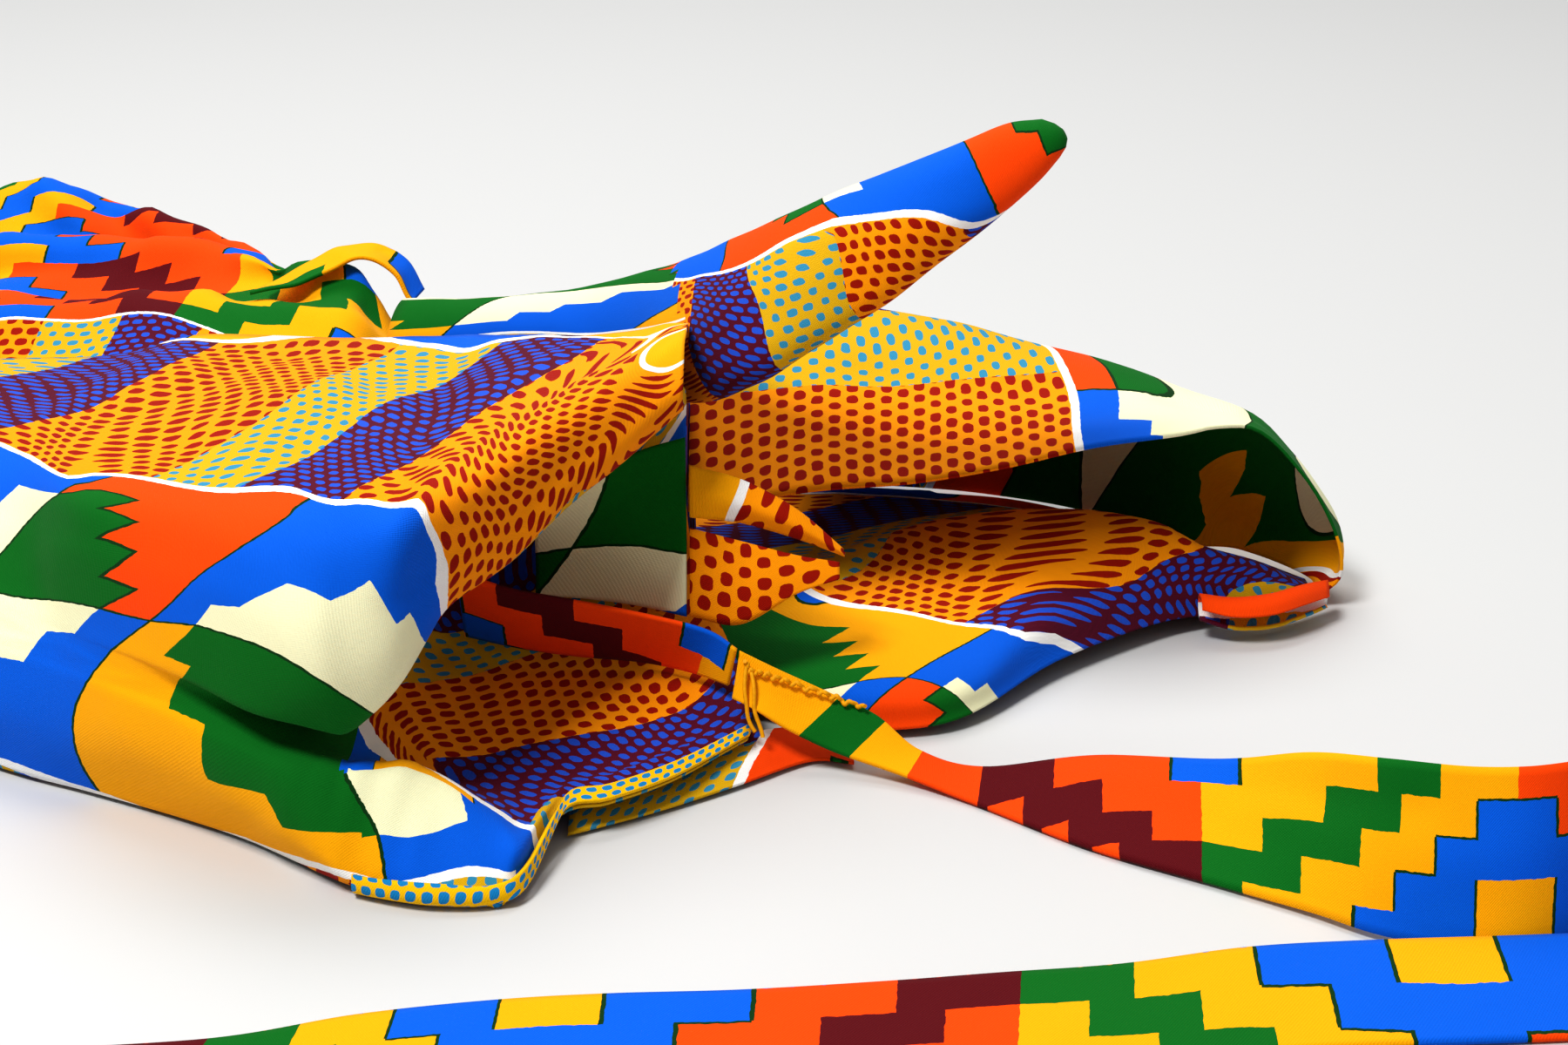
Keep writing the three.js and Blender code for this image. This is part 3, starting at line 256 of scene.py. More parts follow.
# Strips: (x, y, z) of the low and the high edge at each station.
WAISTBAND_STATIONS = (
    ((-74, 86, 24.2), (-74, 72.7, 45.2)),
    ((-62, 84, 22.2), (-62, 71.5, 41.5)),
    ((-48, 83.5, 20.2), (-48, 72, 38.5)),
    ((-33, 82.5, 19.2), (-32, 73.5, 34.5)),
    ((-21, 79.5, 17.8), (-18, 75.5, 30)),
    ((-13, 75.5, 16.5), (-11, 74, 26)),
)
STRAP_BACK_STATIONS = (
    ((-146, 240, 61.4), (-144, 251.6, 59.8)),
    ((-129, 242, 65.4), (-127, 253.6, 68)),
    ((-115, 244, 69.4), (-113, 255, 71)),
    ((-106, 243, 66), (-104, 253, 67)),
    ((-101, 241, 58), (-99, 250, 59)),
)
TIE_RIGHT_STATIONS = (
    ((-12, 71, 15.5), (-10, 75.3, 25.5)),
    ((-5.5, 67, 14), (-2, 75, 21.5)),
    ((1.5, 65, 10.5), (10, 74, 16)),
    ((12, 63, 6), (21, 70, 12)),
    ((27, 57, 3.4), (31, 65, 5.6)),
    ((43, 46, 1.6), (45, 61, 3.4)),
    ((66, 24.5, 1.6), (69, 57, 8)),
    ((92, 6.5, 1.6), (95, 36, 17)),
    ((108, -5, 1.6), (111, 18, 27)),
    ((122, -16, 1.6), (124, 1, 33.5)),
    ((140, -22.3, 1.6), (142, -4, 34)),
    ((158, -18.4, 1.6), (160, -3, 34.5)),
    ((184, 0, 1.6), (186, 9, 34)),
    ((212, 16, 1.6), (213, 30, 30)),
)
TIE_FRONT_STATIONS = (
    ((-302, 161.2, 1.6), (-276, 136.5, 2.2)),
    ((-299, 118, 1.6), (-268, 106, 3.4)),
    ((-296, 70, 1.6), (-262, 71, 3.2)),
    ((-284, 10, 1.6), (-251, 18, 3.2)),
    ((-260, -46, 1.6), (-231, -28, 3.4)),
    ((-216, -85, 1.6), (-199, -55, 3.6)),
    ((-166, -98, 1.6), (-160, -64, 4)),
    ((-122, -95, 1.6), (-112, -62, 4.6)),
    ((-86, -86, 1.6), (-82, -53, 5)),
    ((-58, -81, 1.6), (-56, -47.5, 5)),
    ((-35, -79, 1.6), (-34, -45, 5)),
    ((-9, -77, 1.6), (-8, -43.5, 5)),
    ((19, -73, 1.6), (21, -40, 5)),
    ((40, -70, 1.6), (43, -37, 5.2)),
    ((64, -67, 1.6), (67, -33.5, 5.2)),
    ((92, -61, 1.6), (93, -27, 5.4)),
    ((120, -58, 1.6), (120, -24, 5.4)),
    ((158, -55, 1.6), (158, -21, 5.2)),
    ((182, -50, 1.6), (182, -17, 5)),
    ((206, -46, 1.6), (206, -13, 4.6)),
)

# The hidden layers: x, then (y, z) of front, shoulder, top, far shoulder and back.
CORE_CUTS = (
    (-266, (140, 0), (148, 20), (190, 27), (246, 18), (300, 0)),
    (-232, (112, 0), (120, 32), (180, 36), (300, 28), (352, 0)),
    (-190, (84, 0), (92, 40), (160, 43), (300, 34), (338, 0)),
    (-156, (62, 0), (66, 48), (130, 54), (262, 38), (303, 0)),
    (-130, (60, 0), (62, 52), (118, 58), (232, 38), (268, 0)),
    (-106, (66, 0), (70, 50), (118, 60), (200, 36), (228, 0)),
    (-80, (108, 0), (110, 48), (130, 58), (180, 42), (204, 0)),
    (-50, (128, 0), (129, 44), (142, 54), (170, 46), (194, 0)),
    (-24, (128, 0), (129, 40), (152, 54), (180, 50), (206, 0)),
)
POINT_TIP = (63.2, 103.5, 139.2)

# --- Marks: the print's point (u, v) lies at the cloth's place (x, y, z) ---

PANEL_MARKS = (
    (-135.2, 34.2, 50.3, 0, 48),
    (-98.6, 32.9, 77.4, 0, 96),
    (-115.5, 26.3, 67.2, 0, 73),
    (-139.4, 38.7, 55.1, -12, 57),
    (-138.0, 41.0, 62.8, -20, 66),
    (-147.1, 52.7, 68.7, -36, 75),
    (-153.1, 61.1, 69.6, -50, 84),
    (-169.0, 64.8, 43.1, -32, 48),
    (-147.6, 44.4, 48.2, -12, 48),
    (-123.2, 25.2, 52.7, 12, 48),
    (-120.4, 24.4, 57.4, 12, 57),
    (-113.8, 20.8, 60.2, 20, 57),
    (-102.9, 18.0, 66.1, 20, 66),
    (-93.1, 15.2, 63.3, 28, 66),
    (-85.8, 17.1, 67.6, 28, 75),
    (-80.4, 17.3, 56.2, 36, 75),
    (-77.3, 20.6, 56.4, 36, 84),
    (-90.3, 30.7, 78.4, 12, 96),
    (-80.5, 26.7, 79.7, 20, 96),
    (-72.9, 26.6, 73.9, 28, 96),
    (-71.0, 29.3, 64.6, 33, 96),
    (-73.1, 26.6, 61.0, 38, 96),
    (-139.5, 58.9, 73.5, -43, 96),
    (-116.9, 43.8, 76.4, -17, 96),
    (-155.8, 67.7, 70.4, -51, 96),
    (-183.9, 111.3, 63.3, -86, 96),
    (-186.3, 121.7, 62.9, -90.5, 104),
    (-156.1, 50.4, 40.4, -12, 39),
    (-171.3, 59.3, 29.6, -20, 30),
    (-150.5, 44.8, 36.0, 0, 34),
    (-157.2, 47.5, 24.3, 0, 22),
    (-157.3, 50.5, 7.0, 0, 7),
    (-151.7, 49.5, 1.3, 0, 0),
    (-132.5, 31.1, 43.4, 12, 39),
    (-126.1, 25.9, 42.6, 20, 39),
    (-122.4, 24.7, 30.4, 28, 30),
    (-109.4, 14.0, 19.2, 36, 21),
    (-132.5, 30.4, 31.4, 20, 30),
    (-124.0, 24.7, 17.9, 28, 21),
    (-106.7, 12.6, 11.9, 36, 12),
    (-118.0, 29.0, 1.0, 20, 0),
    (-91.0, 26.3, 22.3, 50, 34),
    (-85.7, 6.9, 12.7, 50, 12),
    (-83.8, 1.3, 3.8, 50, 0),
    (-143.9, 190.5, 62.7, -90.5, 200),
    (-98.9, 190.2, 63.0, -43, 200),
    (-69.8, 172.6, 69.3, -17, 200),
    (-42.2, 143.6, 79.2, 9.5, 200),
    (-33.2, 108.7, 87.9, 16, 200),
    (-30.4, 85.8, 89.5, 26, 200),
    (-38.4, 69.3, 79.6, 52, 163),
    (-45.6, 60.4, 73.7, 50, 147),
    (-52.8, 52.2, 68.7, 49, 131),
    (-63.2, 40.1, 63.3, 46, 109),
    (-69.5, 84.0, 78.6, 9.5, 150),
    (-94.2, 101.1, 75.9, -17, 145),
    (-115.2, 106.6, 74.0, -43, 140),
    (-201.9, 185.5, 54.8, -117, 150),
    (-26.6, 93.4, 92.0, 24, 208),
    (-25.0, 86.5, 88.1, 31, 199),
    (-24.2, 83.4, 84.6, 40, 186),
    (-26.3, 81.8, 79.4, 48, 180),
    (-53.9, 115.0, 41.5, 88, 160),
    (-32.7, 109.9, 61.0, 84, 196),
    (-70.8, 112.4, 26.9, 92, 140),
)
# The hemmed corner's outer face, left of the hem.
FLAP_MARKS = (
    (-91.0, 26.3, 22.3, 50, 34),
    (-85.7, 6.9, 12.7, 50, 12),
    (-83.8, 1.4, 4.0, 50, 0),
    (-73.8, 17.5, 18.7, 62, 24),
    (-66.0, 11.1, 13.7, 64, 12),
    (-58.1, 1.6, 6.3, 76, 0),
    (-54.9, 9.2, 10.5, 80, 10),
)
# The pocket's floor.
POCKET_MARKS = (
    (-90.6, 34.8, 21.8, 60, 1),
    (-77.0, 41.3, 14.4, 9.5, -6),
    (-70.3, 36.9, 12.5, 2, -9),
    (-53.2, 14.3, 9.0, -19, 1),
    (-68.6, 48.9, 12.0, 9.5, -15),
    (-54.4, 55.4, 11.1, 9.5, -30),
    (-34.7, 63.5, 12.1, 9.5, -52),
    (-21.9, 73.4, 13.5, 9.5, -68),
    (-49.1, 29.9, 8.5, -19, -12),
    (-38.1, 35.9, 8.3, -20, -26),
    (-24.0, 46.0, 7.5, -21, -46),
    (-8.9, 67.5, 8.8, -21, -64),
    (-60.3, 80.2, 16.2, 40, -32),
    (-40.4, 85.2, 17.2, 36, -55),
)
POINT_MARKS = (
    (-2.0, 112.9, 109.9, 66, 96),
    (9.9, 109.8, 116.7, 52, 96),
    (21.7, 104.4, 119.7, 34, 96),
    (33.3, 100.8, 120.8, 18, 96),
    (44.1, 100.9, 119.0, 5, 96),
    (47.5, 100.3, 123.6, 0, 90),
    (40.8, 107.9, 134.7, 0, 72),
    (58.3, 102.2, 140.1, -30, 66),
    (63.2, 103.5, 139.2, -38, 70),
    (-3.0, 97.9, 90.6, 83, 128),
    (-5.6, 105.8, 101.6, 83, 112),
    (14.8, 98.9, 101.6, 57, 122),
    (11.9, 105.8, 114.6, 58, 99),
    (19.8, 99.6, 101.4, 50, 122),
    (-20.5, 125.7, 96.6, 109.5, 112),
    (-21.5, 116.5, 76.0, 109.5, 150),
    (-12.1, 106.8, 77.1, 96, 150),
    (-43.0, 158.9, 77.7, 145, 97),
    (-22.7, 133.1, 96.2, 112, 96),
    (-14.2, 123.5, 103.7, 100, 84),
    (-57.1, 173.5, 72.0, 165, 90),
)
# The raised point's foot, behind the roll.
ROOT_MARKS = (
    (-36.5, 147.0, 79.7, 0, 201),
    (-76.3, 189.3, 64.9, -37, 201),
    (-19.5, 127.0, 98.4, -6, 240),
    (-38.7, 161.9, 86.2, -22, 243),
    (-57.3, 178.3, 76.3, -30, 228),
    (-90.9, 199.3, 61.5, -50, 203),
)
LOOP_UPPER_MARKS = (
    (73.3, 182.6, 57.5, 58, 96),
    (73.4, 168.3, 55.2, 48, 96),
    (74.0, 140.9, 51.5, 24, 96),
    (32.0, 172.7, 56.8, 57, 141),
    (22.2, 178.8, 59.9, 66, 150),
    (0.0, 144.1, 43.0, 20, 172),
    (42.8, 140.5, 43.2, 17, 128),
    (97.8, 177.1, 53.4, 50, 70),
    (92.0, 144.2, 52.1, 27, 74),
    (119.1, 160.6, 49.3, 43, 44),
    (135.4, 179.7, 26.4, 56, 28),
    (142.5, 174.8, 8.9, 44, 6),
    (123.0, 189.9, 32.3, 30, 30),
)
LOOP_LOWER_MARKS = (
    (27.6, 91.1, 11.8, 0, 48),
    (3.6, 133.1, 19.2, 50, 0),
    (51.8, 113.9, 15.2, 0, 0),
    (65.1, 118.2, 10.2, -10, 0),
    (86.8, 141.8, 16.2, 9.5, -26),
    (108.0, 162.6, 17.0, 9.5, -48),
    (35.5, 163.1, 23.1, 52, -46),
    (30.0, 185.0, 24.0, 74, -60),
    (70.0, 180.0, 22.0, 50, -72),
    (110.0, 178.0, 18.0, 16, -64),
    (132.0, 172.0, 10.0, -4, -66),
    (12.9, 139.2, 20.7, 62, -14),
    (-6.2, 99.5, 14.4, 40, 30),
    (42.1, 118.6, 17.6, 16, -7),
    (122.4, 162.1, 11.6, -8, -55),
    (59.2, 108.3, 6.0, -22, 8),
)
DRAPE_MARKS = (
    (-47.7, 98.1, 41.9, -49, 48),
    (-22.3, 92.9, 42.5, -33, 48),
    (-22.7, 100.1, 64.0, -36, 66),
    (-23.2, 87.6, 30.5, -18, 30),
)
BEAK_UPPER_MARKS = (
    (-21.1, 95.5, 57.6, 25, 10),
    (-10.4, 95.4, 55.9, 25, 0),
    (12.1, 94.9, 42.8, 32, -26),
    (-10.1, 95.9, 48.9, 30, -3),
    (-20.5, 95.5, 50.0, 26, 9),
)
BEAK_LOWER_MARKS = (
    (-20.1, 92.5, 45.9, 26, -12),
    (9.8, 94.3, 40.3, 30, -40),
    (-16.1, 87.3, 30.6, 42, -18),
    (-20.0, 96.0, 52.0, 24, -12),
    (-2.0, 96.0, 47.0, 24, -30),
)
UNDER_MARKS = (
    (-47.2, 32.7, 0.7, -30, 140),
    (-8.9, 59.7, 3.7, -30, 96),
    (1.0, 66.7, 2.6, -30, 87),
    (9.8, 69.1, 0.2, -30, 76),
    (-22.3, 46.8, 0.3, -38, 108),
)
# On strips the last value is the share of its width that the print takes.
TIE_RIGHT_MARKS = (
    (-8.0, 71.0, 18.0, -138, 0.4),
    (0.0, 70.5, 16.0, -127, 0.4),
    (9.3, 66.7, 10.0, -116, 0.4),
    (18.0, 67.0, 8.5, -101, 0.4),
    (29.6, 61.1, 4.6, -78, 0.4),
    (44.0, 54.0, 2.6, -56, 0.4),
    (64.5, 52.6, 6.0, -34, 0.6),
    (96.1, 33.7, 17.1, 0, 1.0),
    (122.7, 2.3, 33.0, 33, 1.0),
    (142.7, -4.9, 32.5, 70, 1.0),
)
TIE_FRONT_MARKS = (
    (-108.4, -61.3, 4.6, -145, 0.85),
    (-48.5, -46.4, 5.0, -77, 0.8),
    (42.8, -38.5, 5.0, 0, 0.72),
    (130.7, -23.7, 5.3, 77, 0.5),
)
BAND_MARKS = (
    (-71.7, 79.7, 32.7, -218, 1.0),
    (-59.4, 76.0, 32.0, -203, 1.0),
    (-39.4, 75.0, 31.0, -182, 1.0),
    (-24.8, 77.0, 26.0, -162, 1.0),
    (-12.0, 75.0, 21.0, -144, 1.0),
)
STRAP_BACK_MARKS = (
    (-145, 246, 60, 22, 1.0),
    (-113, 250, 69, 38, 1.0),
    (-100, 246, 58, 54, 1.0),
)
RUFFLE_MARKS = (
    (-240, 250, 48, -84, 404),
    (-150, 235, 56, 14, 412),
    (-240, 300, 54, -100, 480),
    (-150, 290, 52, 0, 474),
    (-200, 340, 50, -60, 560),
)
CURL_MARKS = (
    (104, 142, 12, -8, 92),
    (121, 138, 8, -24, 90),
    (138, 152, 8, -40, 88),
    (121, 144, 12, -24, 94),
)
# The thread tack: the edge that it oversews and its two loose ends.
TACK_EDGE = (
    (-9.5, 73.6, 23.0),
    (-7.9, 72.8, 21.2),
    (-4.0, 72.6, 20.3),
    (0.0, 72.4, 18.8),
    (6.0, 72.3, 16.8),
    (11.9, 71.6, 14.8),
    (17.9, 70.4, 13.2),
)
TACK_ENDS = (
    ((-8.6, 72.6, 22.6), (-9.4, 70.0, 18.5), (-8.0, 68.4, 14.6), (-8.6, 67.6, 11.8),
     (-6.6, 67.0, 9.0)),
    ((-7.4, 72.2, 21.4), (-6.4, 69.0, 18.0), (-7.6, 67.6, 13.8), (-5.2, 67.0, 10.4),
     (-4.8, 66.0, 8.0)),
)
# How far back the loop's lower layer runs at each of its cuts, and where it ends on the left.
LOOP_FAR_EDGE = (242, 243, 246, 244.5, 242, 236, 218, 200, 194, 178)
LOOP_NEAR_END = -24.5

# --- Creases: (from, to, height, width), a trough where the height is below zero ---

PANEL_CREASES = (
    ((-106, 20, 34), (-97, 13, 36), -1.2, 5),
    ((-150, 52, 66), (-118, 30, 62), 0.9, 9),
    ((-172, 72, 52), (-160, 54, 34), -1.1, 7),
    ((-142, 40, 22), (-118, 24, 20), 0.8, 8),
    ((-108, 60, 78), (-74, 110, 79), -1.0, 7),
    ((-128, 92, 74), (-100, 150, 70), 0.9, 9),
    ((-150, 112, 70), (-128, 172, 64), -1.1, 8),
    ((-176, 128, 66), (-160, 184, 60), 0.9, 9),
    ((-62, 50, 80), (-46, 92, 88), 0.7, 6),
    ((-56, 48, 69), (-42, 66, 78), -0.7, 4),
    ((-68, 30, 68), (-60, 42, 72), -0.8, 4),
)
POINT_CREASES = (
    ((-10, 104, 92), (30, 98, 112), -0.9, 5),
    ((0, 110, 112), (40, 100, 121), 0.6, 4),
)
RUFFLE_CREASES = (
    ((-222, 334, 64), (-208, 318, 56), 3.4, 5),
    ((-204, 330, 62), (-190, 312, 56), -3.4, 5),
    ((-190, 322, 60), (-176, 304, 56), 3.0, 5),
    ((-176, 312, 57), (-164, 296, 56), -2.6, 5),
    ((-160, 300, 55), (-150, 282, 56), 2.4, 5),
    ((-238, 262, 50), (-190, 258, 60), -4.8, 6),
    ((-236, 276, 52), (-182, 272, 62), 3.6, 6),
    ((-232, 290, 54), (-196, 286, 60), -4.5, 5),
    ((-200, 262, 60), (-158, 250, 60), 3.9, 6),
    ((-190, 276, 60), (-146, 262, 62), -5.1, 6),
    ((-180, 292, 58), (-140, 280, 56), 3.3, 6),
    ((-226, 306, 52), (-178, 302, 54), 3.6, 6),
    ((-216, 320, 48), (-160, 312, 48), -3.9, 6),
    ((-150, 250, 60), (-118, 236, 62), 3.0, 4),
    ((-140, 262, 58), (-112, 250, 58), -3.3, 4),
)
LOOP_CREASES = (
    ((20, 176, 60), (66, 168, 57), -0.9, 6),
    ((60, 150, 52), (104, 150, 53), 0.8, 6),
    ((98, 172, 54), (128, 172, 44), -1.0, 5),
)
STRAP_BACK_CREASES = (
    ((-140, 248, 64), (-128, 238, 61), -1.3, 4),
    ((-124, 252, 70), (-115, 243, 67), 1.2, 4),
    ((-110, 252, 69), (-101, 244, 61), -1.1, 3.5),
)
TIE_RIGHT_CREASES = (
    ((70, 48, 8), (104, 14, 18), 0.7, 6),
    ((98, 24, 16), (128, -6, 26), -0.8, 5),
    ((130, -14, 16), (160, -12, 20), 0.7, 7),
)

# --- Curves and grids of points ---

def smooth_lines(points, steps):
    """Points on smooth lines through the given ones, along the first axis."""
    points = np.asarray(points, float)
    padded = np.concatenate((2 * points[:1] - points[1:2], points,
                             2 * points[-1:] - points[-2:-1]))
    before, start, end, after = padded[:-3], padded[1:-2], padded[2:-1], padded[3:]
    share = (np.arange(steps) / steps).reshape((1, steps) + (1,) * (points.ndim - 1))
    before, start, end, after = (part[:, None] for part in (before, start, end, after))
    curve = 0.5 * (2 * start + (end - before) * share
                   + (2 * before - 5 * start + 4 * end - after) * share ** 2
                   + (3 * start - before - 3 * end + after) * share ** 3)
    return np.concatenate((curve.reshape((-1,) + points.shape[1:]), points[-1:]))


def smooth_grid(net, row_steps, column_steps):
    net = np.asarray(net, float)
    wide = np.swapaxes(smooth_lines(np.swapaxes(net, 0, 1), column_steps), 0, 1)
    return smooth_lines(wide, row_steps)


def grid_normals(grid):
    along = np.empty_like(grid)
    across = np.empty_like(grid)
    along[1:-1] = grid[2:] - grid[:-2]
    along[0], along[-1] = grid[1] - grid[0], grid[-1] - grid[-2]
    across[:, 1:-1] = grid[:, 2:] - grid[:, :-2]
    across[:, 0], across[:, -1] = grid[:, 1] - grid[:, 0], grid[:, -1] - grid[:, -2]
    normals = np.cross(along, across)
    return normals / np.maximum(np.linalg.norm(normals, axis=2, keepdims=True), 1e-9)


def moved_grid(grid, distance):
    """The grid moved along its normals by one distance or by one for each point."""
    distance = np.asarray(distance, float)
    if distance.ndim:
        distance = distance[:, :, None]
    moved = grid + grid_normals(grid) * distance
    moved[:, :, 2] = np.maximum(moved[:, :, 2], LOWEST)
    return moved


def cuts_net(cuts):
    """Control points from a table of upright cuts."""
    net = []
    for x, *places in cuts:
        low, top = x if isinstance(x, tuple) else (x, x)
        net.append([(low if index < LOW_PLACES else top, *place)
                    for index, place in enumerate(places)])
    return net


def cloth_lengths(grid):
    """Distances along the cloth from its middle row and middle column, at each point."""
    rows, columns = grid.shape[:2]
    along = np.zeros((rows, columns))
    along[1:] = np.cumsum(np.linalg.norm(np.diff(grid, axis=0), axis=2), axis=0)
    across = np.zeros((rows, columns))
    across[:, 1:] = np.cumsum(np.linalg.norm(np.diff(grid, axis=1), axis=2), axis=1)
    middle = columns // 2
    return np.stack((along - along[rows // 2], across - across[:, middle:middle + 1]), 2)


# --- Where the print lies on the cloth ---

def plate_kernel(squared):
    return 0.5 * squared * np.log(np.maximum(squared, 1e-6))


def placed_print(grid, marks, region=None, base=None, ease=0.6):
    """Print coordinates at each point, from marks (x, y, z, u, v) that say where the print lies.

    Between the marks the print follows the cloth's own lengths, or the base, like a thin plate.
    region is where marks may lie. ease is how far the print may pass a mark by.
    """
    lengths = cloth_lengths(grid) if base is None else base
    marks = np.array(marks)
    spots = grid.reshape(-1, 3)
    allowed = np.ones(len(spots), bool) if region is None else region.reshape(-1)
    reach = np.linalg.norm(spots[None] - marks[:, None, :3], axis=2)
    reach[:, ~allowed] = np.inf
    anchors = lengths.reshape(-1, 2)[reach.argmin(axis=1)]
    count = len(marks)
    between = ((anchors[:, None] - anchors[None]) ** 2).sum(2)
    system = np.zeros((count + 3, count + 3))
    system[:count, :count] = plate_kernel(between) + np.eye(count) * ease * count
    system[:count, count] = system[count, :count] = 1
    system[:count, count + 1:] = anchors
    system[count + 1:, :count] = anchors.T
    wanted = np.zeros((count + 3, 2))
    wanted[:count] = marks[:, 3:]
    weights = np.linalg.lstsq(system, wanted, rcond=None)[0]
    flat = lengths.reshape(-1, 2)
    gaps = ((flat[:, None] - anchors[None]) ** 2).sum(2)
    terms = np.concatenate((plate_kernel(gaps), np.ones((len(flat), 1)), flat), axis=1)
    return (terms @ weights).reshape(grid.shape[:2] + (2,))


def strip_print(grid, marks, top=None):
    """Print coordinates on a strip: marks (x, y, z, u, share) along it, its own width across.

    share is how much of the width one millimetre of print takes. With top, the print's own
    width runs down from that value at the upper edge.
    """
    lengths = cloth_lengths(grid)
    middle = grid[:, grid.shape[1] // 2]
    stations = lengths[:, grid.shape[1] // 2, 0]
    marks = np.array(marks)
    reach = np.linalg.norm(middle[None] - marks[:, None, :3], axis=2)
    at = stations[reach.argmin(axis=1)]
    slope = (marks[-1, 3] - marks[0, 3]) / (at[-1] - at[0])
    along = np.interp(stations, at, marks[:, 3])
    along = np.where(stations < at[0], marks[0, 3] + (stations - at[0]) * slope, along)
    along = np.where(stations > at[-1], marks[-1, 3] + (stations - at[-1]) * slope, along)
    shares = np.interp(stations, at, marks[:, 4])[:, None]
    across = (lengths[:, -1:, 1] - lengths[:, :, 1]) * shares
    if top is not None:
        across = top - across
    return np.stack((np.broadcast_to(along[:, None], across.shape), across), 2)


# --- Creases and unevenness ---

def near_segment(spots, start, end):
    start, end = np.array(start, float), np.array(end, float)
    span = end - start
    share = np.clip(((spots - start) @ span) / (span @ span), 0, 1)
    return np.linalg.norm(spots - start - share[..., None] * span, axis=-1)


def creased(grid, creases):
    """Soft troughs (depth below zero) and ridges, each from one point to another."""
    height = np.zeros(grid.shape[:2])
    for start, end, depth, width in creases:
        height += depth * np.exp(-(near_segment(grid, start, end) / width) ** 2)
    return height


# Slow swells: each one's direction in radians, its length in millimetres and its share.
SWELLS = ((0.3, 38, 0.5), (1.5, 27, 0.35), (2.4, 19, 0.25), (0.9, 13, 0.14))


def uneven(grid, size, seed):
    """Slow swells of cloth that was handled, from a few waves laid across each other."""
    lengths = cloth_lengths(grid)
    height = np.zeros(grid.shape[:2])
    for turn, wave, part in SWELLS:
        phase = seed * 1.7 + wave
        across = lengths[..., 0] * math.cos(turn + seed) + lengths[..., 1] * math.sin(turn + seed)
        bend = 4 * np.sin(lengths[..., 0] / 21 + phase) + 3 * np.sin(lengths[..., 1] / 17 - phase)
        height += part * np.sin((across + bend) * 2 * math.pi / wave + phase)
    return height * size


def edge_fade(grid, margin=6.0):
    """Nothing at the cloth's edges, one away from them."""
    lengths = cloth_lengths(grid)
    along, across = lengths[..., 0], lengths[..., 1]
    away = np.minimum(np.minimum(along - along[:1], along[-1:] - along),
                      np.minimum(across - across[:, :1], across[:, -1:] - across))
    return np.clip(away / margin, 0, 1)


# --- Meshes ---

def new_piece(name, points, faces, face_prints, material, node):
    """A piece from points in millimetres, with the print's coordinates at each face's corners."""
    mesh = bpy.data.meshes.new(name)
    shifted = np.array(points, float) - (*HEAP_CENTRE, 0)
    mesh.from_pydata((shifted / 1000).tolist(), [], np.asarray(faces).tolist())
    layer = mesh.uv_layers.new(name="print")
    layer.data.foreach_set("uv", np.asarray(face_prints, np.float32).ravel())
    mesh.materials.append(material)
    mesh.polygons.foreach_set("use_smooth", [True] * len(mesh.polygons))
    piece = bpy.data.objects.new(name, mesh)
    bpy.context.scene.collection.objects.link(piece)
    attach(piece, "root")
    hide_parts(*([node] if isinstance(node, str) else node))
    return piece


def grid_faces(rows, columns):
    corner = np.arange(rows * columns).reshape(rows, columns)
    squares = np.stack((corner[:-1, :-1], corner[1:, :-1], corner[1:, 1:], corner[:-1, 1:]), 2)
    return squares.reshape(-1, 4)


def solidified(piece, thickness):
    shell = piece.modifiers.new("thickness", "SOLIDIFY")
    shell.thickness = thickness / 1000
    shell.offset = -1
    bpy.context.view_layer.objects.active = piece
    bpy.ops.object.modifier_apply(modifier=shell.name)


def cloth_piece(name, grid, prints, material, node, thickness=CLOTH_THICKNESS, regions=()):
    """Cloth with its face on the grid. regions: (faces' mask, other print coordinates)."""
    rows, columns = grid.shape[:2]
    faces = grid_faces(rows, columns)
    corners = prints.reshape(-1, 2)[faces]
    for mask, other in regions:
        chosen = mask.reshape(-1)
        corners[chosen] = other.reshape(-1, 2)[faces][chosen]
    normals = grid_normals(grid)
    outward = np.cross(grid[1, 0] - grid[0, 0], grid[0, 1] - grid[0, 0]) @ normals[0, 0]
    if outward < 0:
        faces = faces[:, ::-1]
        corners = corners[:, ::-1]
    piece = new_piece(name, grid.reshape(-1, 3), faces, corners, material, node)
    solidified(piece, thickness)
    return piece


# --- Node helpers ---

class Field:
    """A number at each point of a surface, worked out by nodes."""

    def __init__(self, tree, socket):
        self.tree = tree
        self.socket = socket

    def step(self, operation, *others):
        node = self.tree.nodes.new("ShaderNodeMath")
        node.operation = operation
        for slot, value in zip(node.inputs, (self, *others)):
            if isinstance(value, Field):
                self.tree.links.new(value.socket, slot)
            else:
                slot.default_value = value
        return Field(self.tree, node.outputs[0])

    def __add__(self, other):
        return self.step("ADD", other)

    def __sub__(self, other):
        return self.step("SUBTRACT", other)

    def __mul__(self, other):
        return self.step("MULTIPLY", other)

    def __truediv__(self, other):
        return self.step("DIVIDE", other)

    def __lt__(self, other):
        return self.step("LESS_THAN", other)

    def __gt__(self, other):
        return self.step("GREATER_THAN", other)

    def __abs__(self):
        return self.step("ABSOLUTE")

    def floor(self):
        return self.step("FLOOR")

    def wrapped(self, period):
        return self.step("FLOORED_MODULO", period)

    def either(self, other):
        return self.step("MAXIMUM", other)

    def both(self, other):
        return self.step("MULTIPLY", other)

    def no(self):
        return self * -1 + 1


def linear(code):
    parts = [int(code[at:at + 2], 16) / 255 for at in (1, 3, 5)]
    return tuple(part / 12.92 if part <= 0.04045 else ((part + 0.055) / 1.055) ** 2.4
                 for part in parts) + (1.0,)


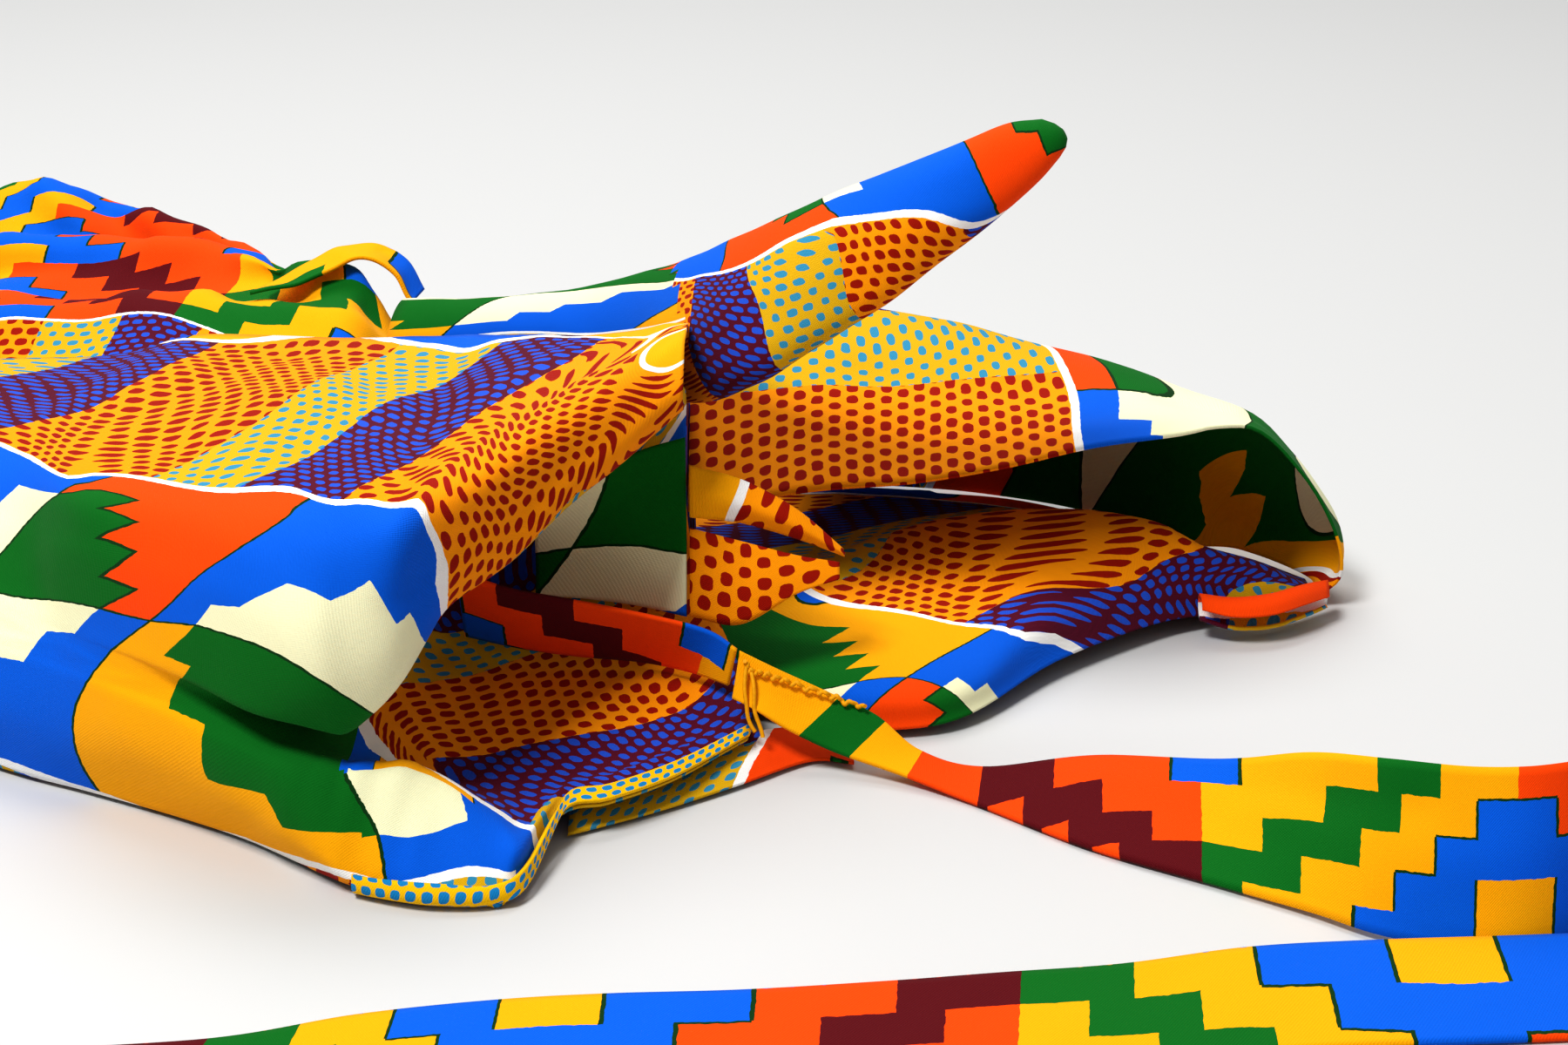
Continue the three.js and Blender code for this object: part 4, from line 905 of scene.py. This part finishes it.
def blended(tree, share, off, on):
    """Colour off where share is 0 and on where it is 1. Each is a colour code or a socket."""
    node = tree.nodes.new("ShaderNodeMix")
    node.data_type = "RGBA"
    tree.links.new(share.socket, node.inputs["Factor"])
    for slot, colour in ((node.inputs[6], off), (node.inputs[7], on)):
        if isinstance(colour, str):
            slot.default_value = linear(colour)
        else:
            tree.links.new(colour, slot)
    return node.outputs[2]


def noise_field(tree, vector, scale, detail):
    node = tree.nodes.new("ShaderNodeTexNoise")
    tree.links.new(vector, node.inputs["Vector"])
    node.inputs["Scale"].default_value = scale
    node.inputs["Detail"].default_value = detail
    return Field(tree, node.outputs["Fac"])


WEAVE_PITCH = 0.62       # millimetres from one thread to the next but one
WEAVE_DEPTH = 0.00012    # metres
WEAVE_SHADE, MOTTLE_SHADE = 0.022, 0.09
PRINT_WANDER = 0.55      # how far, in millimetres, the print's outlines stray


def fabric(name):
    """A new cotton material: its tree, its shader, and the print's coordinates u and v in mm."""
    material = bpy.data.materials.new(name)
    material.use_nodes = True
    tree = material.node_tree
    shader = tree.nodes["Principled BSDF"]
    shader.inputs["Roughness"].default_value = 0.82
    shader.inputs["Specular IOR Level"].default_value = 0.12
    shader.inputs["Sheen Weight"].default_value = 0.03
    shader.inputs["Sheen Roughness"].default_value = 0.5
    uv = tree.nodes.new("ShaderNodeUVMap")
    uv.uv_map = "print"
    split = tree.nodes.new("ShaderNodeSeparateXYZ")
    tree.links.new(uv.outputs[0], split.inputs[0])
    u, v = Field(tree, split.outputs[0]), Field(tree, split.outputs[1])
    wander = (noise_field(tree, uv.outputs[0], 0.55, 1) - 0.5) * PRINT_WANDER
    return material, tree, shader, uv.outputs[0], u + wander, v - wander


def finish_fabric(tree, shader, uv, colour):
    """The weave's relief, small differences of shade, and the print's colour on the shader."""
    split = tree.nodes.new("ShaderNodeSeparateXYZ")
    tree.links.new(uv, split.inputs[0])
    u, v = Field(tree, split.outputs[0]), Field(tree, split.outputs[1])
    turn = 2 * math.pi / WEAVE_PITCH
    warp = (u * turn).step("SINE")
    weft = (v * turn).step("SINE")
    weave = warp * weft
    mottle = noise_field(tree, uv, 1.6, 3) - 0.5
    shade = weave * WEAVE_SHADE + mottle * MOTTLE_SHADE + 1
    tint = tree.nodes.new("ShaderNodeMix")
    tint.data_type = "RGBA"
    tint.blend_type = "MULTIPLY"
    tint.inputs["Factor"].default_value = 1
    grey = tree.nodes.new("ShaderNodeCombineXYZ")
    for slot in grey.inputs:
        tree.links.new(shade.socket, slot)
    tree.links.new(colour, tint.inputs[6])
    tree.links.new(grey.outputs[0], tint.inputs[7])
    tree.links.new(tint.outputs[2], shader.inputs["Base Color"])
    bump = tree.nodes.new("ShaderNodeBump")
    bump.inputs["Strength"].default_value = 0.35
    bump.inputs["Distance"].default_value = WEAVE_DEPTH
    height = weave + mottle * 1.2
    tree.links.new(height.socket, bump.inputs["Height"])
    tree.links.new(bump.outputs[0], shader.inputs["Normal"])


# --- The print's parts ---

ORANGE, YELLOW, GREEN, BLUE = "#fa4c00", "#fcac00", "#06681c", "#0060d8"
CREAM, WHITE, BURGUNDY, OUTLINE = "#f6f4c8", "#fbfaf6", "#5c0a14", "#0c3a12"
DOT_RED, DOT_GROUND, PURPLE_GROUND, PURPLE_DOT = "#9c1600", "#ff9c00", "#5a0f2a", "#2856cc"
OLIVE, OLIVE_DOT = "#dcac14", "#3a90b4"
HEM_YELLOW, HEM_DASH = "#ffc400", "#1a86c4"
THREAD_SHADE, THREAD_LIGHT = "#d08c00", "#ffb400"

BLOCK = 100              # one block's length along the print
BLOCK_STRIP = 96         # the block strip's width
PRINT_PERIOD = 200       # block strip and dotted strip together
LINE_HALF = 1.2          # half a white line's width
STAIR_RUN, STAIR_RISE, STAIR_STEPS, STAIR_START = 8, 9, 4, 4
DRAWN_HALF = 0.4         # half the width of a stair's and a zigzag's drawn outline
CROSS_HALF = (0.34, 0.3)  # half the width of the lines that quarter a block
BANDS_START, OLIVE_FROM, VIOLET_FROM = 9.5, 47.5, 73.5
DOT_PULSE = 17           # along the print, the dots widen and narrow over this length
# Each band's dots: spacing, mean half width and depth, how far the width pulses, and offset.
RED_DOTS = ((5.6, 4.4), (1.8, 1.5), 0.35, 0.0)
OLIVE_DOTS = ((5.2, 4.2), (1.45, 1.2), 0.35, 0.3)
VIOLET_DOTS = ((4.9, 3.2), (1.6, 1.05), 0.25, 0.15)
ZIGZAG_FROM = 400        # beyond this v, the panel's cloth has the strips' print
ZIGZAG_HALF, ZIGZAG_DEPTH = 77, 32
ZIGZAG_ROW, ZIGZAG_SHIFT = 8, 12
LIGHT_FROM, TREAD_FROM, BLUE_FROM = 20, 31, 43
END_SQUARE_FROM, MIDDLE_SQUARE_HALF = 67, 7.4


def block_colour(tree, u, v):
    """Quartered blocks: two lines that cross, and a staircase in each quarter."""
    p = (u + BLOCK / 2).wrapped(BLOCK) - BLOCK / 2
    q = v - BLOCK_STRIP / 2
    far, high = abs(p), abs(q)

    def tread(shift):
        """The stair's height, with its steps moved along by the shift."""
        steps = ((far - STAIR_START + shift) / STAIR_RUN).floor().step("MINIMUM", STAIR_STEPS)
        return steps * STAIR_RISE

    inner = high < tread(0)
    same = (p * q) > 0
    upper = q > 0
    outer_colour = blended(tree, same, blended(tree, upper, YELLOW, ORANGE), BLUE)
    inner_colour = blended(tree, same, GREEN, CREAM)
    colour = blended(tree, inner, outer_colour, inner_colour)
    outside = ((high + DRAWN_HALF) < tread(-DRAWN_HALF)).no()
    drawn = ((high - DRAWN_HALF) < tread(DRAWN_HALF)).both(outside)
    ring = drawn.both(same.no()).both(upper)
    upright, level = CROSS_HALF
    line = (far < upright).either(high < level).either(abs(far - BLOCK / 2) < upright).either(ring)
    return blended(tree, line, colour, OUTLINE)


DOT_POWER = 2.6          # between a round dot's 2 and a square one's many


def dots(u, v, spacing, size, offset=0.0):
    """Staggered rounded dots. size: half their width and half their depth."""
    row = (v / spacing[1]).floor()
    across = ((u / spacing[0] + row * 0.5 + offset).wrapped(1) - 0.5) * spacing[0]
    down = ((v / spacing[1]).wrapped(1) - 0.5) * spacing[1]
    width, depth = size
    wide = (abs(across) / width).step("POWER", DOT_POWER)
    deep = (abs(down) / depth).step("POWER", DOT_POWER)
    return (wide + deep) < 1


def dotted_colour(tree, u, v):
    """Bands of small dots: orange, yellow and purple, which repeat along the print."""
    band = (u - BANDS_START).wrapped(BLOCK)
    pulse = (u * (2 * math.pi / DOT_PULSE)).step("SINE")

    def dotted(kind, ground, dot):
        spacing, (width, depth), swell, offset = kind
        return blended(tree, dots(u, v, spacing, (pulse * swell + width, depth), offset),
                       ground, dot)

    colour = dotted(RED_DOTS, DOT_GROUND, DOT_RED)
    olive = dotted(OLIVE_DOTS, OLIVE, OLIVE_DOT)
    violet = dotted(VIOLET_DOTS, PURPLE_GROUND, PURPLE_DOT)
    colour = blended(tree, band > OLIVE_FROM, colour, olive)
    return blended(tree, band > VIOLET_FROM, colour, violet)


def zigzag_colour(tree, u, v):
    """Stepped rows for the strips: each row's colours stand further from the middle line."""
    p = (u + ZIGZAG_HALF).wrapped(2 * ZIGZAG_HALF) - ZIGZAG_HALF
    far = abs(p)
    row = (v / ZIGZAG_ROW).floor()
    reach = far - row * ZIGZAG_SHIFT
    right = p > 0
    bold = blended(tree, right, BURGUNDY, GREEN)
    light = blended(tree, right, ORANGE, YELLOW)
    colour = blended(tree, reach > 0, light, bold)
    colour = blended(tree, reach > LIGHT_FROM, colour, light)
    colour = blended(tree, reach > BLUE_FROM, colour, BLUE)
    first, last = row < 0.5, row > 2.5
    colour = blended(tree, (far > END_SQUARE_FROM).both(first), colour, YELLOW)
    colour = blended(tree, (far < MIDDLE_SQUARE_HALF).both(last), colour, BLUE)
    line = (abs(reach - BLUE_FROM) < DRAWN_HALF).either(
        (abs(far - END_SQUARE_FROM) < DRAWN_HALF).both(first))
    line = line.either((abs(far - MIDDLE_SQUARE_HALF) < DRAWN_HALF).both(last))
    near_blue = (reach > TREAD_FROM).both(reach < BLUE_FROM)
    treads = (v.wrapped(ZIGZAG_ROW) < 0.5).both(near_blue).both(row > 0.5)
    line = line.either(treads)
    return blended(tree, line, colour, OUTLINE)


def panel_material():
    material, tree, shader, uv, u, v = fabric("panel_print")
    place = v.wrapped(PRINT_PERIOD)
    colour = blended(tree, place > BLOCK_STRIP, block_colour(tree, u, place),
                     dotted_colour(tree, u, v))
    from_ends = place.step("MINIMUM", place * -1 + PRINT_PERIOD)
    from_line = abs(place - BLOCK_STRIP).step("MINIMUM", from_ends)
    colour = blended(tree, from_line < LINE_HALF, colour, WHITE)
    zigzag = zigzag_colour(tree, u, (v - ZIGZAG_FROM).wrapped(ZIGZAG_DEPTH))
    colour = blended(tree, v > ZIGZAG_FROM, colour, zigzag)
    finish_fabric(tree, shader, uv, colour)
    return material


def strip_material():
    material, tree, shader, uv, u, v = fabric("strip_print")
    finish_fabric(tree, shader, uv, zigzag_colour(tree, u, v))
    return material


def hem_material():
    material, tree, shader, uv, u, v = fabric("hem_print")
    dashes = dots(u, v, spacing=(3.4, 2.1), size=(1.1, 0.7))
    colour = blended(tree, dashes, HEM_YELLOW, HEM_DASH)
    finish_fabric(tree, shader, uv, colour)
    return material


def thread_material():
    material = bpy.data.materials.new("yellow_thread")
    material.use_nodes = True
    tree = material.node_tree
    shader = tree.nodes["Principled BSDF"]
    shader.inputs["Roughness"].default_value = 0.6
    shader.inputs["Specular IOR Level"].default_value = 0.2
    place = tree.nodes.new("ShaderNodeTexCoord")
    twist = noise_field(tree, place.outputs["Object"], 900, 2)
    tree.links.new(blended(tree, twist, THREAD_SHADE, THREAD_LIGHT), shader.inputs["Base Color"])
    return material


# --- The apron's pieces ---

panel_print = panel_material()
strip_fabric = strip_material()
hem_fabric = hem_material()
thread = thread_material()
FINE = 6


def shown(grid, unevenness, seed, creases=()):
    """The cloth's face on its solid's form: inset, with its creases and slow swells."""
    height = creased(grid, creases) + uneven(grid, unevenness, seed) * edge_fade(grid)
    return moved_grid(grid, height - FACE_INSET)


def face_mask(grid, test):
    """For each face, whether the test of its own middle is true."""
    middle = (grid[:-1, :-1] + grid[1:, :-1] + grid[1:, 1:] + grid[:-1, 1:]) / 4
    return test(middle)


panel_net = cuts_net(PANEL_CUTS)
# Stretches of the panel's net, counted in columns from the hem.
FLAP_COLUMNS, POCKET_COLUMNS, FRONT_COLUMNS, BELLY_COLUMNS = 2, 4.3, 4.6, 13
FRONT_END_X, FLAP_END_X = -83, -55.5
HEM_EDGE_X, HEM_EDGE_LEAN = -83.3, 0.4
BELLY_LEAN = (0.3, 0.38)  # how much going back counts as going along and up the front face
BELLY_BLEND = 12.0       # millimetres over which its print runs into the main one
BELLY_EASE = 0.4
PANEL_ROW, PANEL_COLUMN = FINE, 2 * FINE
panel_grid = smooth_grid(panel_net, PANEL_ROW, PANEL_COLUMN)


def column_numbers(grid, per_net):
    rows, columns = grid.shape[:2]
    return np.broadcast_to((np.arange(columns - 1) + 0.5) / per_net, (rows - 1, columns - 1))


def made_panel():
    """The panel: its main print, and the two stretches of it that lie in front of the pocket."""
    columns = column_numbers(panel_grid, PANEL_COLUMN)
    middle = face_mask(panel_grid, lambda spots: spots)
    past_edge = middle[..., 0] > HEM_EDGE_X - HEM_EDGE_LEAN * middle[..., 2]
    flap = (columns < FLAP_COLUMNS) & past_edge & (middle[..., 0] < FLAP_END_X)
    pocket = (columns < POCKET_COLUMNS) & past_edge & ~flap
    here, back, height = (panel_grid[..., axis] for axis in range(3))
    high = np.zeros(here.shape, bool)
    high[:, int(FRONT_COLUMNS * PANEL_COLUMN):] = True
    region = high | (here < FRONT_END_X)
    main = placed_print(panel_grid, PANEL_MARKS, region)
    front = np.stack((here + BELLY_LEAN[0] * back, height + BELLY_LEAN[1] * back), 2)
    belly_marks = [mark for mark in PANEL_MARKS if mark[4] <= BLOCK_STRIP]
    belly_print = placed_print(panel_grid, belly_marks, region, front, BELLY_EASE)
    belly = np.clip((BLOCK_STRIP - main[..., 1]) / BELLY_BLEND, 0, 1)
    belly *= np.clip(BELLY_COLUMNS - np.arange(here.shape[1]) / PANEL_COLUMN, 0, 1)
    main += (belly_print - main) * belly[..., None]
    flap_print = placed_print(panel_grid, FLAP_MARKS, ~high, panel_grid[..., ::2])
    pocket_print = placed_print(panel_grid, POCKET_MARKS, ~high, panel_grid[..., :2])
    face = shown(panel_grid, 0.35, seed=1, creases=PANEL_CREASES)
    piece = cloth_piece("apron_panel", face, main, panel_print, "main_panel",
                        regions=((flap, flap_print), (pocket, pocket_print)))


def simple_sheet(name, node, net, steps, marks, swell, seed, creases=()):
    grid = smooth_grid(net, *steps)
    prints = placed_print(grid, marks)
    face = shown(grid, swell, seed, creases)
    piece = cloth_piece(name, face, prints, panel_print, node)


def made_hem():
    first = next(row for row, cut in enumerate(PANEL_CUTS) if cut[0][0] > HEM_START_X) * PANEL_ROW
    strip = panel_grid[first:, :PANEL_COLUMN + 1]
    lengths = cloth_lengths(strip)
    face = moved_grid(strip, HEM_STANDOFF + HEM_THICKNESS + 0.05)
    piece = cloth_piece("hem_side_cloth", face, lengths, hem_fabric, "hem_side",
                        thickness=HEM_THICKNESS)


POINT_SIDES = 12
POINT_END = ((0.35, 0.25), (0.7, 0.22), (0.97, 0.0))   # rings that close the tip: share, bulge
POINT_FREE_X = -30                                     # right of here the point stands free
ROOT_EDGE_X, ROOT_EDGE_Z, ROOT_EDGE_LEAN = -24, 90, 0.45


def point_grid():
    stations = smooth_lines([(*low, *up, swell) for low, up, swell in POINT_RINGS], FINE)
    low, up, swell = stations[:, :3], stations[:, 3:6], stations[:, 6]
    middle = (low + up) / 2
    axis = np.gradient(middle, axis=0)
    axis /= np.linalg.norm(axis, axis=1, keepdims=True)
    rise = (up - low) / 2
    half_width = np.linalg.norm(rise, axis=1, keepdims=True)
    rise /= half_width
    outwards = np.cross(axis, rise)
    outwards /= np.linalg.norm(outwards, axis=1, keepdims=True)
    angles = np.linspace(-0.5 * math.pi, 1.5 * math.pi, POINT_SIDES * FINE + 1)
    rings = (middle[:, None] - rise[:, None] * half_width[:, None] * np.cos(angles)[None, :, None]
             + outwards[:, None] * swell[:, None, None] * np.sin(angles)[None, :, None])
    tip = np.array(POINT_TIP)
    last = rings[-1]
    ends = [last + (tip - last) * share + (tip - last.mean(axis=0)) * bulge
            for share, bulge in POINT_END]
    return np.concatenate((rings, ends))


def made_point():
    grid = point_grid()
    main = placed_print(grid, POINT_MARKS, grid[..., 0] > POINT_FREE_X)
    root = placed_print(grid, ROOT_MARKS)
    middle = face_mask(grid, lambda spots: spots)
    behind = middle[..., 0] + ROOT_EDGE_LEAN * (middle[..., 2] - ROOT_EDGE_Z) < ROOT_EDGE_X
    face = shown(grid, 0.3, seed=4, creases=POINT_CREASES)
    piece = cloth_piece("raised_point_cloth", face, main, panel_print, "raised_point",
                        regions=((behind, root),))


def ruffle_net():
    back = smooth_grid(panel_net, 2, 3)[:, -1]
    order = np.argsort(back[:, 0])
    net = []
    for line in cuts_net(RUFFLE_CUTS):
        x = line[0][0]
        y, z = (np.interp(x, back[order, 0], back[order, axis]) for axis in (1, 2))
        net.append([(x, y + SEAM + RUFFLE_TUCK, z - RUFFLE_TUCK), *line])
    return net


def loop_lower_net():
    """The loop's lower layer, its far edge drawn back to the upper layer's foot."""
    net = [[*line, (line[-1][0], back, 1.9)]
           for line, back in zip(cuts_net(LOOP_LOWER_CUTS), LOOP_FAR_EDGE)]
    return [[(LOOP_NEAR_END, y, z) for _, y, z in net[0]], *net]


CURL_STEPS = 10
CURL_START, CURL_TURN = 0.1 * math.pi, 1.65 * math.pi
CURL_TIGHTENS = 0.25     # the share of its radius that the curl loses on its way round


def curl_net():
    net = []
    for x, y, z, radius in EDGE_CURL_STATIONS:
        ring = []
        for step in range(CURL_STEPS + 1):
            angle = CURL_START + CURL_TURN * step / CURL_STEPS
            reach = radius * (1 - CURL_TIGHTENS * step / CURL_STEPS)
            ring.append((x, y - reach * math.cos(angle), z + reach * math.sin(angle)))
        net.append(ring)
    return net


STRIP_SWELL = 0.18
BAND_TOP = 31.0          # the print's own width at the upper edge of the band and the right tie


def strip_piece(name, node, stations, marks, top=None, creases=(), seed=3):
    grid = smooth_grid(stations, 2 * FINE, 3 * FINE)
    prints = strip_print(grid, marks, top)
    face = shown(grid, STRIP_SWELL, seed, creases)
    piece = cloth_piece(name, face, prints, strip_fabric, node, TIE_THICKNESS)


def made_thread(name, lines, radius):
    """Loose sewing thread: a round cord through each line of points."""
    for number, points in enumerate(lines):
        bpy.ops.object.select_all(action="DESELECT")
        bpy.ops.curve.primitive_nurbs_path_add(radius=1, location=(0, 0, 0))
        cord = bpy.context.object
        curve = cord.data
        curve.splines.clear()
        spline = curve.splines.new("NURBS")
        spline.points.add(len(points) - 1)
        for spot, place in zip(spline.points, np.array(points, float) - (*HEAP_CENTRE, 0)):
            spot.co = (*(place / 1000), 1)
        spline.use_endpoint_u = True
        spline.order_u = 4
        spline.resolution_u = 4
        curve.bevel_depth = radius / 1000
        curve.bevel_resolution = 2
        curve.use_fill_caps = True
        curve.materials.append(thread)
        bpy.ops.object.convert(target="MESH")
        cord.name = f"{name}_{number + 1}"
        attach(cord, "root")
        cord.select_set(False)


STITCH_SLANTS = ((0.5, -0.9, 0.9), (0.9, 0.6, 0.2), (0.3, -1.0, -0.5), (0.8, 0.2, 1.0))
STITCHES_BETWEEN = 8     # thread points from one point of the edge to the next
SHORT_STITCH, LONG_STITCH = 0.8, 1.2


def tack_lines():
    """A row of slanted stitches along the strip's upper edge, and two loose ends."""
    edge = smooth_lines(TACK_EDGE, STITCHES_BETWEEN)
    number = np.arange(len(edge))
    slants = np.array(STITCH_SLANTS)[number % len(STITCH_SLANTS)]
    lengths = np.where(number % 3, SHORT_STITCH, LONG_STITCH)
    return (edge + slants * lengths[:, None], *TACK_ENDS)


LAYER_RELIEF, LAYER_PITCH, LAYER_INSET = 0.45, 3.1, 0.7


def made_hidden_layers():
    """The panel's inner layers, one over another, as one rounded pile."""
    net = [[(x, front[0], 0.1), (x, *shoulder), (x, *top), (x, *far), (x, back[0], 0.1)]
           for x, front, shoulder, top, far, back in CORE_CUTS]
    upper = smooth_grid(net, FINE, 2 * FINE)
    height = LAYER_RELIEF * np.sin(upper[..., 2] * 2 * math.pi / LAYER_PITCH + upper[..., 0] / 9
                                   + 2 * np.sin(upper[..., 1] / 23))
    sunk = moved_grid(upper, height - LAYER_INSET)
    shares = np.linspace(0, 1, FINE + 1)[1:-1][None, :, None]
    floor = sunk[:, -1:] + (sunk[:, :1] - sunk[:, -1:]) * shares
    floor[:, :, 2] = LOWEST
    loops = np.concatenate((sunk, floor), axis=1)
    rows, columns = loops.shape[:2]
    corner = np.arange(rows * columns).reshape(rows, columns)
    after = np.roll(corner, -1, axis=1)
    faces = [np.stack((corner[:-1], corner[1:], after[1:], after[:-1]), 2).reshape(-1, 4)]
    points = np.concatenate((loops.reshape(-1, 3), loops[[0, -1]].mean(axis=1)))
    for end, centre in ((0, rows * columns), (rows - 1, rows * columns + 1)):
        ring = corner[end]
        fan = [(centre, ring[at], ring[(at + 1) % columns], ring[(at + 2) % columns])
               for at in range(0, columns - columns % 2, 2)]
        faces.append(np.array([quad[::-1] for quad in fan] if end else fan))
    faces = np.concatenate(faces)
    spread = np.stack((88 + 6 * np.sin(points[:, 0] / 16 + points[:, 2] / 7),
                       120 + 0.3 * points[:, 0] + 0.35 * points[:, 1]), 1)
    piece = new_piece("hidden_layers_cloth", points, faces, spread[faces], panel_print,
                      "hidden_layers")
    bpy.ops.object.select_all(action="DESELECT")
    bpy.context.view_layer.objects.active = piece
    piece.select_set(True)
    bpy.ops.object.mode_set(mode="EDIT")
    bpy.ops.mesh.select_all(action="SELECT")
    bpy.ops.mesh.normals_make_consistent(inside=False)
    bpy.ops.object.mode_set(mode="OBJECT")
    piece.select_set(False)


made_panel()
made_hem()
made_point()
made_hidden_layers()
simple_sheet("back_ruffle_cloth", "back_ruffle", ruffle_net(), (2 * FINE, 2 * FINE), RUFFLE_MARKS,
             swell=0.9, seed=5,
             creases=RUFFLE_CREASES)
simple_sheet("loop_upper_cloth", "loop_upper", LOOP_UPPER_CUTS, (FINE, 4 * FINE), LOOP_UPPER_MARKS,
             swell=0.3, seed=6,
             creases=LOOP_CREASES)
simple_sheet("loop_lower_cloth", "loop_lower", loop_lower_net(), (FINE, 3 * FINE),
             LOOP_LOWER_MARKS, swell=0.3, seed=7)
simple_sheet("loop_edge_curl_cloth", "loop_edge_curl", curl_net(), (FINE, FINE), CURL_MARKS,
             swell=0.05, seed=8)
simple_sheet("inner_drape_cloth", "inner_drape", cuts_net(INNER_DRAPE_CUTS), (2 * FINE, 2 * FINE),
             DRAPE_MARKS, swell=0.15, seed=9)
simple_sheet("beak_upper_leaf", "small_loop_upper", cuts_net(BEAK_UPPER_CUTS), (2 * FINE, FINE),
             BEAK_UPPER_MARKS, swell=0.1, seed=10)
simple_sheet("beak_lower_leaf", "small_loop_lower", cuts_net(BEAK_LOWER_CUTS), (2 * FINE, FINE),
             BEAK_LOWER_MARKS, swell=0.1, seed=11)
simple_sheet("under_layer_cloth", "under_layer", cuts_net(UNDER_LAYER_CUTS), (2 * FINE, 2 * FINE),
             UNDER_MARKS, swell=0.1, seed=12)
strip_piece("waistband_cloth", "waistband", WAISTBAND_STATIONS, BAND_MARKS,
            top=BAND_TOP)
strip_piece("strap_back_cloth", "strap_back", STRAP_BACK_STATIONS, STRAP_BACK_MARKS,
            creases=STRAP_BACK_CREASES)
strip_piece("tie_right_cloth", "tie_right", TIE_RIGHT_STATIONS, TIE_RIGHT_MARKS,
            top=BAND_TOP, creases=TIE_RIGHT_CREASES,
            seed=13)
strip_piece("tie_front_cloth", "tie_front", TIE_FRONT_STATIONS, TIE_FRONT_MARKS,
            seed=14)
made_thread("thread_tack", tack_lines(), radius=0.5)
